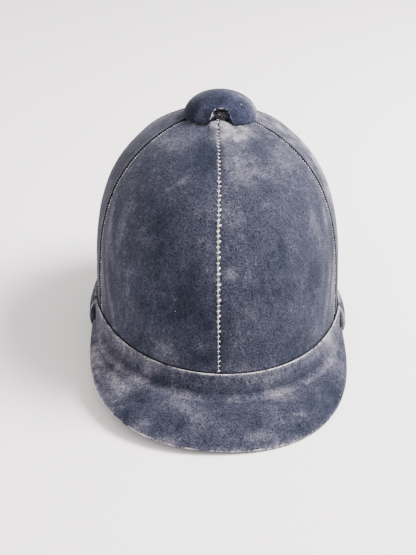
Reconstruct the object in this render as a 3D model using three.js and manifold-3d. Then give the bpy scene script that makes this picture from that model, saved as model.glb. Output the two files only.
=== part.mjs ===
// A velvet riding cap (hunt cap) in millimetres, +Z up. Its front faces -Y and the
// wearer's left is +X. It stands on z = 0 on the front of its peak and on the flat foot
// at the back of its rim band.
//
// The crown, the peak and the band are shaped in the crown's own axes, where z = 0 is the
// level at which the top of the peak's flange meets the crown. The whole cap is then
// tilted back about X to stand as it rests.

import * as THREE from 'three';
import { mergeVertices } from 'three/addons/utils/BufferGeometryUtils.js';
import Module from 'manifold-3d';

// ---- driving dimensions --------------------------------------------------------------

const DEGREE = Math.PI / 180;
const FIT_GAP = 0.3; // air left between two pieces that touch

const CROWN_HALF_WIDTH = 86;
const CROWN_HALF_LENGTH = 107;
const CROWN_HEIGHT = 132; // from the flange's top edge to the crown's top
const CROWN_LEAN = 22; // how far the crown's top leans to the back
const SHOULDER_POWER = 3.76; // how long the sides stay upright before they turn in
const PLAN_POWER = 1.73; // how pointed the dome's top is
const SHELL_WALL = 3; // stiff shell and its velvet together
const SEAM_GAP = 0.4;
const SEAM_SHOULDER = 1.9; // from a panel's edge to where its surface is back at full height
const SEAM_SINK = 0.9; // how far a panel's edge sinks into the seam
const VENT_CLIMB = 0.955; // share of the way up the crown at which the vent hole starts

const REST_TILT = 2.7 * DEGREE; // how far the cap tips back to stand on peak and band
const RIM_RISE = 14; // the rim's front is this much higher than its back
const RIM_LEVEL_FROM = 120 * DEGREE; // behind this angle the rim lies on the ground
const RIM_HIGH_AT = 60 * DEGREE; // in front of this angle it has its full rise
const BINDING = 1.6; // thickness of the band's turn under the panels

const JOIN_CANT = 3.5; // the peak and the band sit this much lower at the wearer's left
const JOIN_SWEEP = 1.1;
const JOIN_LIFT = 5.5; // how far the flange's top edge climbs at the peak's two ends

const PEAK_END = 76 * DEGREE;
const PEAK_EDGE_HALF_WIDTH = 88.3;
const PEAK_EDGE_START = 22; // the peak's edge leaves the crown this far in front of its middle
const PEAK_EDGE_REACH = 128; // and reaches this far in front of that
const PEAK_ACROSS_POWER = 2.24;
const PEAK_AHEAD_POWER = 3; // above 2 the front corners are squarer than an ellipse's
const PEAK_CANT = 4.1; // the edge sits this much lower at the wearer's left
const PEAK_END_DROP = 12.3; // edge below the join level at the peak's ends
const PEAK_SLOPE = 0.14; // further drop of the edge for each millimetre forward
const PEAK_THICKNESS = 3.3;
const PEAK_BOW = 1.6; // crown of the peak's top between valley and edge
const FLANGE_PROUD = 2;
const VALLEY_DROP = 11; // from the flange's top edge to the valley's corner
const VALLEY_ROUND = 8; // length of each leg that the valley's curve takes up
const VALLEY_MOST = 0.45; // and the most of a short leg that it may take
// The flange's crest from its back to its face: share of its thickness, and millimetres
// under its top.
const FLANGE_CREST = [
  { across: 0, drop: 0.7 },
  { across: 0.3, drop: 0 },
  { across: 0.75, drop: 0.1 },
  { across: 1, drop: 0.9 },
];
const PEAK_FRONT_REACH = PEAK_EDGE_START + PEAK_EDGE_REACH - CROWN_HALF_LENGTH;
const PEAK_SECTIONS = 38;
const VALLEY_STEPS = 5;
const SLOPE_WAYS = [0.2, 0.4, 0.6, 0.8]; // points between two ends of the peak's slope
const BACK_WAYS = [0, 0.3, 0.65]; // and up the back of the flange
const ROLL_ANGLES = [0, 45, 90, 135, 180]; // degrees round the peak's rolled edge

const BAND_START = 77.6 * DEGREE;
const BAND_TOP = 5; // the band's top edge above the join level
const BAND_SLANT = 1.6 * DEGREE; // the band's ends lean: their tops lie further forward
const BAND_SLANT_PART = 1 / 6; // share of each half of the band over which the slant fades in
const BAND_SECTIONS = 44;
const BAND_BACK_SHARES = [0.35, 0.7, 1]; // points up the band's back, against the crown
// The band's outer face from top to foot: how far it stands out from the crown, and its
// share of the band's height.
const BAND_FACE = [
  { proud: 0.8, share: 1.0 },
  { proud: 1.9, share: 0.97 },
  { proud: 3.5, share: 0.87 },
  { proud: 5.0, share: 0.7 },
  { proud: 6.0, share: 0.5 },
  { proud: 6.2, share: 0.32 },
  { proud: 5.6, share: 0.14 },
  { proud: 4.4, share: 0.03 },
  { proud: 3.6, share: 0.0 },
];

const BUTTON_X = 2.6; // the button is sewn on a little to the wearer's left
const BUTTON_Y = 20.5;
const BUTTON_RADIUS = 25.8;
const BUTTON_HEIGHT = 17;
const BUTTON_RINGS = 11;
const BUTTON_SIDES = 40;
const NOTCH_WIDTH = 19;
const NOTCH_HEIGHT = 10;
const NOTCH_DEPTH = 25;
const NOTCH_OVERRUN = 6; // how far the notch's cutter runs past the button's front and foot

const SEAMS = { side: 69 * DEGREE, back: 119 * DEGREE, end: 180 * DEGREE };
const VELVET = { front: 0x5a6278, side: 0x646b80, back: 0x586076, button: 0x4a5268, trim: 0x50586e };
const VELVET_ROUGHNESS = 0.95;

const PANEL_COLUMNS = 10;
const PANEL_ROWS_UP = 15;
const CLIMB_POWER = 1.9; // spaces a panel's rows closer where the crown turns in
const SEARCH_STEPS = 40; // enough for the two searches below to settle

// ---- the crown's surface ---------------------------------------------------------------

// The crown's plan shrinks to this share of its full size at height z.
function crownShare(z) {
  if (z <= 0) return 1;
  const climb = Math.min(z / CROWN_HEIGHT, 1);
  return (1 - climb ** SHOULDER_POWER) ** (1 / PLAN_POWER);
}

// Rate at which crownShare changes with height.
function crownShareRate(z) {
  if (z <= 0) return 0;
  const climb = z / CROWN_HEIGHT;
  const rest = 1 - climb ** SHOULDER_POWER;
  const inner = -SHOULDER_POWER / (PLAN_POWER * CROWN_HEIGHT) * climb ** (SHOULDER_POWER - 1);
  return inner * rest ** (1 / PLAN_POWER - 1);
}

// A point at angle turn from the front (towards +X) and height z, sunk under the surface
// along its normal.
function crownPoint(turn, z, sunk = 0) {
  const share = crownShare(z);
  const point = new THREE.Vector3(
    CROWN_HALF_WIDTH * share * Math.sin(turn),
    -CROWN_HALF_LENGTH * share * Math.cos(turn) + CROWN_LEAN * z / CROWN_HEIGHT,
    z,
  );
  return point.addScaledVector(crownNormal(turn, z), -sunk);
}

function crownNormal(turn, z) {
  const lean = CROWN_LEAN / CROWN_HEIGHT * CROWN_HALF_WIDTH * Math.cos(turn);
  const fall = CROWN_HALF_WIDTH * CROWN_HALF_LENGTH * crownShareRate(z);
  return new THREE.Vector3(
    CROWN_HALF_LENGTH * Math.sin(turn),
    -CROWN_HALF_WIDTH * Math.cos(turn),
    lean - fall,
  ).normalize();
}

// Straight out from the crown's upright foot.
function flatNormal(turn) {
  return crownNormal(turn, 0).setZ(0).normalize();
}

// Millimetres along the crown's surface for one radian of turn.
function turnLength(turn, z) {
  const across = CROWN_HALF_WIDTH * Math.cos(turn);
  const along = CROWN_HALF_LENGTH * Math.sin(turn);
  return crownShare(z) * Math.hypot(across, along);
}

// Height of the crown's surface over a point in plan, found by closing in on the lean.
function crownHeightOver(x, y) {
  let z = CROWN_HEIGHT;
  for (let step = 0; step < SEARCH_STEPS; step += 1) {
    const along = (y - CROWN_LEAN * z / CROWN_HEIGHT) / CROWN_HALF_LENGTH;
    const share = Math.hypot(x / CROWN_HALF_WIDTH, along);
    z = CROWN_HEIGHT * (1 - share ** PLAN_POWER) ** (1 / SHOULDER_POWER);
  }
  return z;
}

// ---- levels along the rim --------------------------------------------------------------

const smooth = THREE.MathUtils.smoothstep;

// Height of the flange's top edge round the crown.
function joinLevel(turn) {
  const side = Math.sin(turn);
  return -JOIN_CANT * side + JOIN_SWEEP * side ** 2 + JOIN_LIFT * side ** 4;
}

// Height of the rim's underside over the ground that the cap stands on.
function rimRise(turn) {
  const rise = 1 - smooth(Math.abs(turn), RIM_HIGH_AT, RIM_LEVEL_FROM);
  return (RIM_RISE - JOIN_CANT * Math.sin(turn)) * rise;
}

// Height in the crown's axes of a point that is rise above the ground, at that turn of the
// crown and standing proud of it.
function levelAbove(ground, turn, rise, proud = 0) {
  const slope = Math.tan(REST_TILT);
  const y = -CROWN_HALF_LENGTH * Math.cos(turn) + proud * flatNormal(turn).y;
  const start = (ground + rise) / Math.cos(REST_TILT) + y * slope;
  return start / (1 - CROWN_LEAN / CROWN_HEIGHT * slope);
}

// ---- turning sections into closed solids -------------------------------------------------

function solidFrom(positions, triangles) {
  const geometry = new THREE.BufferGeometry();
  geometry.setAttribute('position', new THREE.Float32BufferAttribute(positions, 3));
  geometry.setIndex(triangles);
  geometry.computeVertexNormals();
  return geometry;
}

// Triangles that fill one closed section, all turning the way that its outline runs.
function fillSection(section) {
  const first = section[0];
  const spread = (point) => Math.hypot(point.x - first.x, point.y - first.y);
  const farthest = section.reduce((best, point) => (spread(point) > spread(best) ? point : best));
  const across = farthest.clone().sub(first).setZ(0).normalize();
  const outline = section.map((point) => new THREE.Vector2(point.clone().sub(first).dot(across), point.z));
  const faces = THREE.ShapeUtils.triangulateShape(outline, []);
  const turns = (points) => Math.sign(THREE.ShapeUtils.area(points));
  const same = turns(faces[0].map((index) => outline[index])) === turns(outline);
  return same ? faces : faces.map(([a, b, c]) => [a, c, b]);
}

// Skins a row of closed sections and fills the first and the last. Each section is an array
// of points, all of one length, that runs up its inner side and down its outer side.
function loft(sections) {
  const count = sections[0].length;
  const last = (sections.length - 1) * count;
  const positions = sections.flat().flatMap((point) => point.toArray());
  const triangles = [];
  for (let row = 0; row + 1 < sections.length; row += 1) {
    for (let i = 0; i < count; i += 1) {
      const [a, b] = [row * count + i, row * count + (i + 1) % count];
      const [c, d] = [a + count, b + count];
      triangles.push(a, b, d, a, d, c);
    }
  }
  fillSection(sections[0]).forEach(([a, b, c]) => triangles.push(a, c, b));
  fillSection(sections.at(-1)).forEach(([a, b, c]) => triangles.push(last + a, last + b, last + c));
  return solidFrom(positions, triangles);
}

// ---- crown panels ------------------------------------------------------------------------

// Heights of a panel's rows at one column, from the rim to the vent hole.
function panelHeights(ground, turn) {
  const foot = levelAbove(ground, turn, rimRise(turn) + BINDING + FIT_GAP);
  const heights = [foot, foot / 2];
  for (let row = 0; row <= PANEL_ROWS_UP; row += 1) {
    const climb = VENT_CLIMB * row / PANEL_ROWS_UP;
    const angle = Math.PI / 2 * climb ** CLIMB_POWER;
    heights.push(CROWN_HEIGHT * Math.sin(angle) ** (2 / SHOULDER_POWER));
  }
  return heights;
}

// A panel from turn `from` to turn `to`: each column is a closed section, up inside the wall
// from foot to vent and back down over the crown's surface.
function crownPanel(ground, from, to) {
  const sections = [];
  for (let column = 0; column <= PANEL_COLUMNS; column += 1) {
    const edge = column === 0 || column === PANEL_COLUMNS;
    const turnAt = (z) => {
      const margin = SEAM_GAP / 2;
      const first = from + margin / turnLength(from, z);
      const last = to - margin / turnLength(to, z);
      if (column === 0) return first;
      if (column === PANEL_COLUMNS) return last;
      const start = first + SEAM_SHOULDER / turnLength(from, z);
      const end = last - SEAM_SHOULDER / turnLength(to, z);
      return THREE.MathUtils.lerp(start, end, (column - 1) / (PANEL_COLUMNS - 2));
    };
    const heights = panelHeights(ground, turnAt(0));
    const outer = heights.map((z) => crownPoint(turnAt(z), z, edge ? SEAM_SINK : 0));
    const inner = heights.map((z) => crownPoint(turnAt(z), z, SHELL_WALL));
    sections.push([...inner, ...outer.reverse()]);
  }
  return loft(sections);
}

// ---- peak ----------------------------------------------------------------------------------

// Distance straight out from a point of the crown to the outline of the peak in plan.
function peakReach(base, out) {
  let [near, far] = [0, PEAK_EDGE_REACH];
  for (let step = 0; step < SEARCH_STEPS; step += 1) {
    const reach = (near + far) / 2;
    const across = Math.abs(base.x + out.x * reach) / PEAK_EDGE_HALF_WIDTH;
    const ahead = forwardOf(base.y + out.y * reach) / PEAK_EDGE_REACH;
    const inside = across ** PEAK_ACROSS_POWER + ahead ** PEAK_AHEAD_POWER < 1;
    if (inside) near = reach;
    else far = reach;
  }
  return near;
}

// How far a point lies in front of where the peak's edge starts.
function forwardOf(y) {
  return Math.max(0, -y - PEAK_EDGE_START);
}

// One upright section of the peak, straight out from the crown: up the flange against the
// crown, over its top edge, down through the valley and out over the peak to its rolled
// edge, then back along the underside.
function peakSection(turn) {
  const top = joinLevel(turn);
  const base = crownPoint(turn, 0);
  const out = flatNormal(turn);
  const reach = peakReach(base, out);
  const cant = PEAK_CANT * (base.x + out.x * reach) / CROWN_HALF_WIDTH;
  const edge = -PEAK_END_DROP - PEAK_SLOPE * forwardOf(base.y + out.y * reach) - cant;

  const half = PEAK_THICKNESS / 2;
  const face = FIT_GAP + FLANGE_PROUD;
  const corner = new THREE.Vector2(face, top - VALLEY_DROP);
  const rim = new THREE.Vector2(reach - half, edge + half);
  const run = rim.clone().sub(corner);
  const round = Math.min(VALLEY_ROUND, run.length() * VALLEY_MOST);
  run.normalize();
  const square = new THREE.Vector2(-run.y, run.x);

  const valley = new THREE.QuadraticBezierCurve(
    new THREE.Vector2(face, corner.y + round),
    corner,
    corner.clone().addScaledVector(run, round),
  ).getPoints(VALLEY_STEPS);
  const bowed = (from, to, way) => {
    const bow = PEAK_BOW * reach / PEAK_FRONT_REACH;
    return from.clone().lerp(to, way).addScaledVector(square, 4 * bow * way * (1 - way));
  };
  const rolled = ROLL_ANGLES.map((degrees) => rim.clone()
    .addScaledVector(square, half * Math.cos(degrees * DEGREE))
    .addScaledVector(run, half * Math.sin(degrees * DEGREE)));
  const slope = SLOPE_WAYS.map((way) => bowed(valley.at(-1), rolled[0], way));
  const underRun = corner.clone().addScaledVector(square, -PEAK_THICKNESS).sub(rolled.at(-1));
  const underEnd = rolled.at(-1).clone()
    .addScaledVector(underRun, (FIT_GAP - rolled.at(-1).x) / underRun.x);
  const under = SLOPE_WAYS.map((way) => bowed(rolled.at(-1), underEnd, way));
  const back = BACK_WAYS.map((way) => new THREE.Vector2(
    FIT_GAP,
    THREE.MathUtils.lerp(underEnd.y, top, way),
  ));
  const crest = FLANGE_CREST.map(({ across, drop }) => new THREE.Vector2(
    FIT_GAP + FLANGE_PROUD * across,
    top - drop,
  ));
  const outline = [...back, ...crest, ...valley, ...slope, ...rolled, ...under];
  return outline.map(({ x, y: z }) => {
    const nearness = 1 - THREE.MathUtils.clamp((x - face) / (reach - face), 0, 1);
    const lean = CROWN_LEAN * z / CROWN_HEIGHT * nearness;
    return new THREE.Vector3(base.x + out.x * x, base.y + out.y * x + lean, z);
  });
}

function peak() {
  const sections = [];
  for (let i = 0; i <= PEAK_SECTIONS; i += 1) {
    sections.push(peakSection(THREE.MathUtils.lerp(-PEAK_END, PEAK_END, i / PEAK_SECTIONS)));
  }
  return loft(sections);
}

// ---- rim band ------------------------------------------------------------------------------

// One section of the band at a turn round the crown. At its two ends the band is cut on
// a slant, which `slant` gives as the turn by which the top lies ahead of the foot.
function bandSection(ground, turn, slant) {
  const place = (proud, share, lift = 0) => {
    const at = turn + slant * (share - 0.5);
    const foot = levelAbove(ground, at, rimRise(at), proud);
    const top = BAND_TOP - JOIN_CANT * Math.sin(at);
    const z = THREE.MathUtils.lerp(foot, top, share) + lift;
    return crownPoint(at, z).addScaledVector(flatNormal(at), proud);
  };
  return [
    place(-SHELL_WALL, 0),
    place(-SHELL_WALL, 0, BINDING),
    place(FIT_GAP, 0, BINDING),
    ...BAND_BACK_SHARES.map((share) => place(FIT_GAP, share)),
    ...BAND_FACE.map(({ proud, share }) => place(proud, share)),
  ];
}

function rimBand(ground) {
  const sections = [];
  for (let i = 0; i <= BAND_SECTIONS; i += 1) {
    const way = 2 * i / BAND_SECTIONS - 1;
    const turn = Math.PI + way * (Math.PI - BAND_START);
    const signed = turn > Math.PI ? turn - 2 * Math.PI : turn;
    const endness = Math.max(0, 1 - (1 - Math.abs(way)) / BAND_SLANT_PART);
    sections.push(bandSection(ground, signed, -Math.sign(signed) * BAND_SLANT * endness));
  }
  return loft(sections);
}

// ---- top button ------------------------------------------------------------------------------

// Height of the crown's surface under a point of the button, at a distance and an angle
// from the button's middle.
function seatHeight(distance, angle) {
  const x = BUTTON_X + distance * Math.sin(angle);
  const y = BUTTON_Y - distance * Math.cos(angle);
  return crownHeightOver(x, y) + FIT_GAP;
}

// The button without its notch: a low dome over a foot that follows the crown.
function buttonBody() {
  const positions = [];
  const put = (distance, angle, z) => {
    positions.push(
      BUTTON_X + distance * Math.sin(angle),
      BUTTON_Y - distance * Math.cos(angle),
      z,
    );
  };
  const crest = seatHeight(BUTTON_RADIUS, 0) + BUTTON_HEIGHT;
  put(0, 0, crest);
  const triangles = [];
  const rings = 2 * BUTTON_RINGS - 1;
  for (let ring = 1; ring <= rings; ring += 1) {
    const under = ring > BUTTON_RINGS;
    const lift = Math.min(ring / BUTTON_RINGS, 1) * Math.PI / 2;
    const radius = under
      ? BUTTON_RADIUS * (rings + 1 - ring) / BUTTON_RINGS
      : BUTTON_RADIUS * Math.sin(lift);
    for (let side = 0; side < BUTTON_SIDES; side += 1) {
      const angle = side / BUTTON_SIDES * 2 * Math.PI;
      const seat = seatHeight(radius, angle);
      const rim = seatHeight(BUTTON_RADIUS, angle);
      const dome = rim + (crest - rim) * Math.cos(lift);
      put(radius, angle, under ? seat : dome);
    }
  }
  put(0, 0, seatHeight(0, 0));
  const at = (ring, side) => 1 + (ring - 1) * BUTTON_SIDES + side % BUTTON_SIDES;
  const pole = 1 + rings * BUTTON_SIDES;
  for (let side = 0; side < BUTTON_SIDES; side += 1) {
    triangles.push(0, at(1, side), at(1, side + 1));
    for (let ring = 1; ring < rings; ring += 1) {
      const [a, b] = [at(ring, side), at(ring, side + 1)];
      const [c, d] = [at(ring + 1, side), at(ring + 1, side + 1)];
      triangles.push(a, c, d, a, d, b);
    }
    triangles.push(at(rings, side), pole, at(rings, side + 1));
  }
  return solidFrom(positions, triangles);
}

// The notch is an arch-ended tunnel that runs back under the button from its front.
function notchCutter() {
  const half = NOTCH_WIDTH / 2;
  const foot = seatHeight(BUTTON_RADIUS, 0) - NOTCH_OVERRUN;
  const spring = seatHeight(BUTTON_RADIUS, 0) + NOTCH_HEIGHT - half;
  const arch = new THREE.Shape();
  arch.moveTo(-half, foot);
  arch.lineTo(half, foot);
  arch.lineTo(half, spring);
  arch.absarc(0, spring, half, 0, Math.PI, false);
  arch.lineTo(-half, foot);
  const depth = NOTCH_DEPTH + NOTCH_OVERRUN;
  const cutter = new THREE.ExtrudeGeometry(arch, { depth, bevelEnabled: false, curveSegments: 10 });
  cutter.rotateX(Math.PI / 2);
  cutter.translate(BUTTON_X, BUTTON_Y - BUTTON_RADIUS + NOTCH_DEPTH, 0);
  return cutter;
}

const wasm = await Module();
wasm.setup();

// A closed mesh with its doubled vertices merged, as a solid that can be cut.
function manifoldFrom(geometry) {
  const bare = geometry.clone();
  bare.deleteAttribute('normal');
  bare.deleteAttribute('uv');
  const merged = mergeVertices(bare, 1e-4);
  const mesh = new wasm.Mesh({
    numProp: 3,
    vertProperties: merged.attributes.position.array,
    triVerts: Uint32Array.from(merged.index.array),
  });
  return new wasm.Manifold(mesh);
}

function subtract(body, cutter) {
  const { vertProperties, triVerts } = manifoldFrom(body).subtract(manifoldFrom(cutter)).getMesh();
  return solidFrom(Array.from(vertProperties), Array.from(triVerts));
}

// ---- assembly --------------------------------------------------------------------------------

const cap = new THREE.Group();

function addPiece(name, geometry, color) {
  const material = new THREE.MeshStandardMaterial({ color, roughness: VELVET_ROUGHNESS });
  const piece = new THREE.Mesh(geometry, material);
  piece.name = name;
  cap.add(piece);
  return piece;
}

const peakPiece = addPiece('peak', peak(), VELVET.trim);
cap.rotation.x = -REST_TILT;
cap.updateMatrixWorld(true);
const ground = new THREE.Box3().setFromObject(peakPiece, true).min.z;

addPiece('front_left_panel', crownPanel(ground, 0, SEAMS.side), VELVET.front);
addPiece('front_right_panel', crownPanel(ground, -SEAMS.side, 0), VELVET.front);
addPiece('side_left_panel', crownPanel(ground, SEAMS.side, SEAMS.back), VELVET.side);
addPiece('side_right_panel', crownPanel(ground, -SEAMS.back, -SEAMS.side), VELVET.side);
addPiece('back_left_panel', crownPanel(ground, SEAMS.back, SEAMS.end), VELVET.back);
addPiece('back_right_panel', crownPanel(ground, -SEAMS.end, -SEAMS.back), VELVET.back);
addPiece('rim_band', rimBand(ground), VELVET.trim);
addPiece('top_button', subtract(buttonBody(), notchCutter()), VELVET.button);

const riding_cap = new THREE.Group();
riding_cap.add(cap);
const bounds = new THREE.Box3().setFromObject(riding_cap, true);
const middle = bounds.getCenter(new THREE.Vector3());
riding_cap.position.set(-middle.x, -middle.y, -ground);

export default riding_cap;
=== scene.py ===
"""A worn velvet riding cap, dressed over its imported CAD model.

Forms are worked out in millimetres in the crown's own axes, where z = 0 is the level at
which the top of the peak's flange meets the crown. Seating then lays them in the row
frame, in metres: the front faces -Y and the wearer's left is +X.

Among the sizes, a name that ends in ridge gives a middle and a spread for hump. One that
ends in at, heights or reach, and is a pair, gives where smooth starts and ends.
"""

import functools
import logging
import math
from collections.abc import Callable, Sequence
from dataclasses import dataclass, replace
from enum import Enum

import bmesh
import bpy
from bmesh.types import BMesh
from bpy.types import Material, Node, NodeSocket, NodeTree, Object
from mathutils import Matrix, Vector, noise

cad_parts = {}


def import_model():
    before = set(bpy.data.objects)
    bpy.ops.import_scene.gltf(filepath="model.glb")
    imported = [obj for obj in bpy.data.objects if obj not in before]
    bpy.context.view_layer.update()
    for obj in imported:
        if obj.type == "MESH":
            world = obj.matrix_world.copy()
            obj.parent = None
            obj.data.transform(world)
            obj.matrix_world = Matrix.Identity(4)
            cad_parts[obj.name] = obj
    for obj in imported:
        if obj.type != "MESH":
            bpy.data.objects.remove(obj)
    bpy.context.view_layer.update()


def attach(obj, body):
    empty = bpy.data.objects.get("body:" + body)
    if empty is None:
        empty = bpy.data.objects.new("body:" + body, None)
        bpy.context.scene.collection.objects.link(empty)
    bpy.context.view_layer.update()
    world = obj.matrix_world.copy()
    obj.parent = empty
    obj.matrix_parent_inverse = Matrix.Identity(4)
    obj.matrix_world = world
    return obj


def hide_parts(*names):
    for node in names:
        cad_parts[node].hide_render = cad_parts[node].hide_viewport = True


log = logging.getLogger("riding_cap")

MM = 0.001
BODY = "root"
SEARCH_STEPS = 30
ROW_WELD = 0.0001 * MM
CREST_WELD = 0.02 * MM
NEAR_CREST = 1e-4
STITCH_RINGS = 5

Pair = tuple[float, float]
Triple = tuple[float, float, float]
Colour = tuple[float, float, float, float]


# ---- small sums ----------------------------------------------------------------------


def blend(start: float, end: float, way: float) -> float:
    """The number at that way from start to end."""
    return start + (end - start) * way


def smooth(value: float, low: float, high: float) -> float:
    """0 below low, 1 above high, and an even S between them."""
    way = min(1.0, max(0.0, (value - low) / (high - low)))
    return way * way * (3 - 2 * way)


def hump(value: float, middle: float, spread: float) -> float:
    """1 at the middle, fading to nothing about two spreads away."""
    return math.exp(-(((value - middle) / spread) ** 2))


def crowded(way: float, strength: float) -> float:
    """A way from 0 to 1, bent so that even steps crowd towards both its ends."""
    return way - strength * math.sin(math.tau * way) / math.tau


def bulge(way: float) -> float:
    """0 at both ends of a way and 1 in its middle."""
    return 4 * way * (1 - way)


def sway(count: int, rate: float) -> float:
    """How far an uneven hand swings at one stitch, from -1 to 1."""
    return math.sin(rate * count)


def wander(point: Vector, size: float, seed: float) -> float:
    """Smooth unevenness from -1 to 1.

    Args:
        point: Where, in millimetres.
        size: Millimetres from one bump to the next.
        seed: Which of many different fields.

    Returns:
        The field's value there.
    """
    return noise.noise(point / size + Vector((seed, 1.7 * seed, -seed)))


@dataclass(frozen=True)
class Wave:
    """One unevenness: its depth, the millimetres between its bumps, and its seed."""

    depth: float
    size: float
    seed: float


def uneven(point: Vector, *waves: Wave) -> float:
    """Several unevennesses at a point, added up."""
    return sum(wave.depth * wander(point, wave.size, wave.seed) for wave in waves)


# ---- forms of the cap ----------------------------------------------------------------


@dataclass(frozen=True)
class CrownForm:
    """The crown's outer surface: an upright oval that turns in to a leaning dome."""

    half_width: float = 86.0
    half_length: float = 107.0
    height: float = 132.0
    lean: float = 22.0
    shoulder_power: float = 3.76
    plan_power: float = 1.73
    row_power: float = 1.9

    def share(self, z: float) -> float:
        """The share of its full plan that the crown has at height z."""
        if z <= 0:
            return 1.0
        climb = min(z / self.height, 1.0)
        return (1 - climb**self.shoulder_power) ** (1 / self.plan_power)

    def share_rate(self, z: float) -> float:
        """How fast the share changes with height."""
        if z <= 0:
            return 0.0
        climb = z / self.height
        rest = 1 - climb**self.shoulder_power
        inner = climb ** (self.shoulder_power - 1) * rest ** (1 / self.plan_power - 1)
        return -self.shoulder_power / (self.plan_power * self.height) * inner

    def normal(self, turn: float, z: float) -> Vector:
        """Straight out from the surface at that turn from the front and height."""
        lean = self.lean / self.height * self.half_width * math.cos(turn)
        fall = self.half_width * self.half_length * self.share_rate(z)
        across = self.half_length * math.sin(turn)
        along = -self.half_width * math.cos(turn)
        return Vector((across, along, lean - fall)).normalized()

    def flat_normal(self, turn: float) -> Vector:
        """Straight out from the crown's upright foot, level."""
        out = self.normal(turn, 0)
        return Vector((out.x, out.y, 0)).normalized()

    def point(self, turn: float, z: float) -> Vector:
        """A point of the surface."""
        share = self.share(z)
        x = self.half_width * share * math.sin(turn)
        y = -self.half_length * share * math.cos(turn) + self.lean * z / self.height
        return Vector((x, y, z))

    def turn_length(self, turn: float, z: float) -> float:
        """Millimetres along the surface for one radian of turn."""
        across = self.half_width * math.cos(turn)
        along = self.half_length * math.sin(turn)
        return self.share(z) * math.hypot(across, along)

    def height_over(self, x: float, y: float) -> float:
        """The surface's height over a point in plan, found by closing in on the lean."""
        z = self.height
        for _ in range(SEARCH_STEPS):
            along = (y - self.lean * z / self.height) / self.half_length
            share = min(1.0, math.hypot(x / self.half_width, along))
            z = self.height * (1 - share**self.plan_power) ** (1 / self.shoulder_power)
        return z

    def climb_height(self, climb: float) -> float:
        """The height at that share of the way up the surface from the join to the top."""
        angle = math.pi / 2 * climb**self.row_power
        return self.height * math.sin(angle) ** (2 / self.shoulder_power)


@dataclass(frozen=True)
class Seating:
    """How the crown's own axes lie in the row frame, and the levels round its rim."""

    form: CrownForm = CrownForm()
    tilt: float = math.radians(2.7)
    back: float = 17.331
    lift: float = 24.245
    rim_rise: float = 14.0
    rim_fall_at: Pair = (math.radians(60), math.radians(120))
    cant: float = 3.5
    sweep: float = 1.1
    end_lift: float = 5.5
    band_top: float = 5.0
    peak_end_at: Pair = (math.radians(75), math.radians(78))

    def lay(self, point: Vector) -> Vector:
        """A point of the crown's axes laid in the row frame, in metres."""
        turned = Matrix.Rotation(-self.tilt, 3, "X") @ point
        return (turned + Vector((0, self.back, self.lift))) * MM

    def thread_frame(self, place: Vector, along: Vector, out: Vector) -> Matrix:
        """Where a thread lies in the row frame.

        Args:
            place: Its middle, in the crown's axes.
            along: The way that it runs.
            out: The way out of the cloth.

        Returns:
            A matrix with its z along the thread and its y out of the cloth.
        """
        origin = self.lay(Vector((0, 0, 0)))
        z = (self.lay(along) - origin).normalized()
        x = (self.lay(out) - origin).cross(z).normalized()
        turned = Matrix((x, z.cross(x), z)).transposed().to_4x4()
        return Matrix.Translation(self.lay(place)) @ turned

    def join(self, turn: float) -> float:
        """Height of the flange's top edge round the crown."""
        side = math.sin(turn)
        return -self.cant * side + self.sweep * side**2 + self.end_lift * side**4

    def band_edge(self, turn: float) -> float:
        """Height of the band's top edge."""
        return self.band_top - self.cant * math.sin(turn)

    def collar(self, turn: float) -> float:
        """Height at which the crown comes out of the peak's flange or of the band."""
        part = smooth(abs(turn), *self.peak_end_at)
        return blend(self.join(turn), self.band_edge(turn), part)

    def rise(self, turn: float) -> float:
        """Height of the rim's underside over the ground."""
        front = 1 - smooth(abs(turn), *self.rim_fall_at)
        return (self.rim_rise - self.cant * math.sin(turn)) * front

    def level(self, turn: float, rise: float, proud: float = 0.0) -> float:
        """Height, in the crown's axes, of a point over the ground.

        Args:
            turn: Turn round the crown from its front.
            rise: Millimetres over the ground.
            proud: Millimetres out from the crown's foot.

        Returns:
            The height z there.
        """
        slope = math.tan(self.tilt)
        y = -self.form.half_length * math.cos(turn) + proud * self.form.flat_normal(turn).y
        start = (rise - self.lift) / math.cos(self.tilt) + y * slope
        return start / (1 - self.form.lean / self.form.height * slope)


@dataclass(frozen=True)
class Scuff:
    """A patch where the pile is paler (strength above 0) or darker (below 0): mostly rubbed or
    flattened pile, in a few places painted light and shade.
    """

    wide: float
    tall: float
    strength: float
    lean: float = 0.0

    def spread(self, across: float, up: float) -> float:
        """The patch's strength at a distance across and up from its middle."""
        cosine, sine = math.cos(math.radians(self.lean)), math.sin(math.radians(self.lean))
        a = (across * cosine + up * sine) / self.wide
        b = (up * cosine - across * sine) / self.tall
        return self.strength * math.exp(-(a * a + b * b))


@dataclass(frozen=True)
class CrownScuff(Scuff):
    """A scuff at a turn, in degrees, and a height of the crown."""

    turn: float = 0.0
    height: float = 0.0

    def weight(self, form: CrownForm, turn: float, z: float) -> float:
        """How much of the patch lies at a point of the crown.

        Args:
            form: The crown's surface.
            turn: Turn of the point, in radians.
            z: Height of the point.

        Returns:
            The patch's strength there.
        """
        middle = math.radians(self.turn)
        across = (turn - middle) * form.turn_length(middle, self.height)
        offset = form.point(middle, z) - form.point(middle, self.height)
        return self.spread(across, math.copysign(offset.length, z - self.height))


@dataclass(frozen=True)
class PlanScuff(Scuff):
    """A scuff at a place in plan, seen from above."""

    x: float = 0.0
    y: float = 0.0

    def weight(self, place: Vector) -> float:
        """How much of the patch lies at a point of the peak or button."""
        return self.spread(place.x - self.x, place.y - self.y)


# ---- meshes --------------------------------------------------------------------------


class Mark(Enum):
    """Values that a mesh carries for its finish to read."""

    # wear makes the pile paler or darker: mostly wear, in places painted light and shade. edge is
    # a pale rubbed or frayed edge, and on the vent's tuck a painted highlight. The third mark is
    # painted shade in grooves, clefts, creases and under overhangs.
    WEAR = "wear"
    EDGE = "edge"
    PAINTED_SHADE = "gap"


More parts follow.
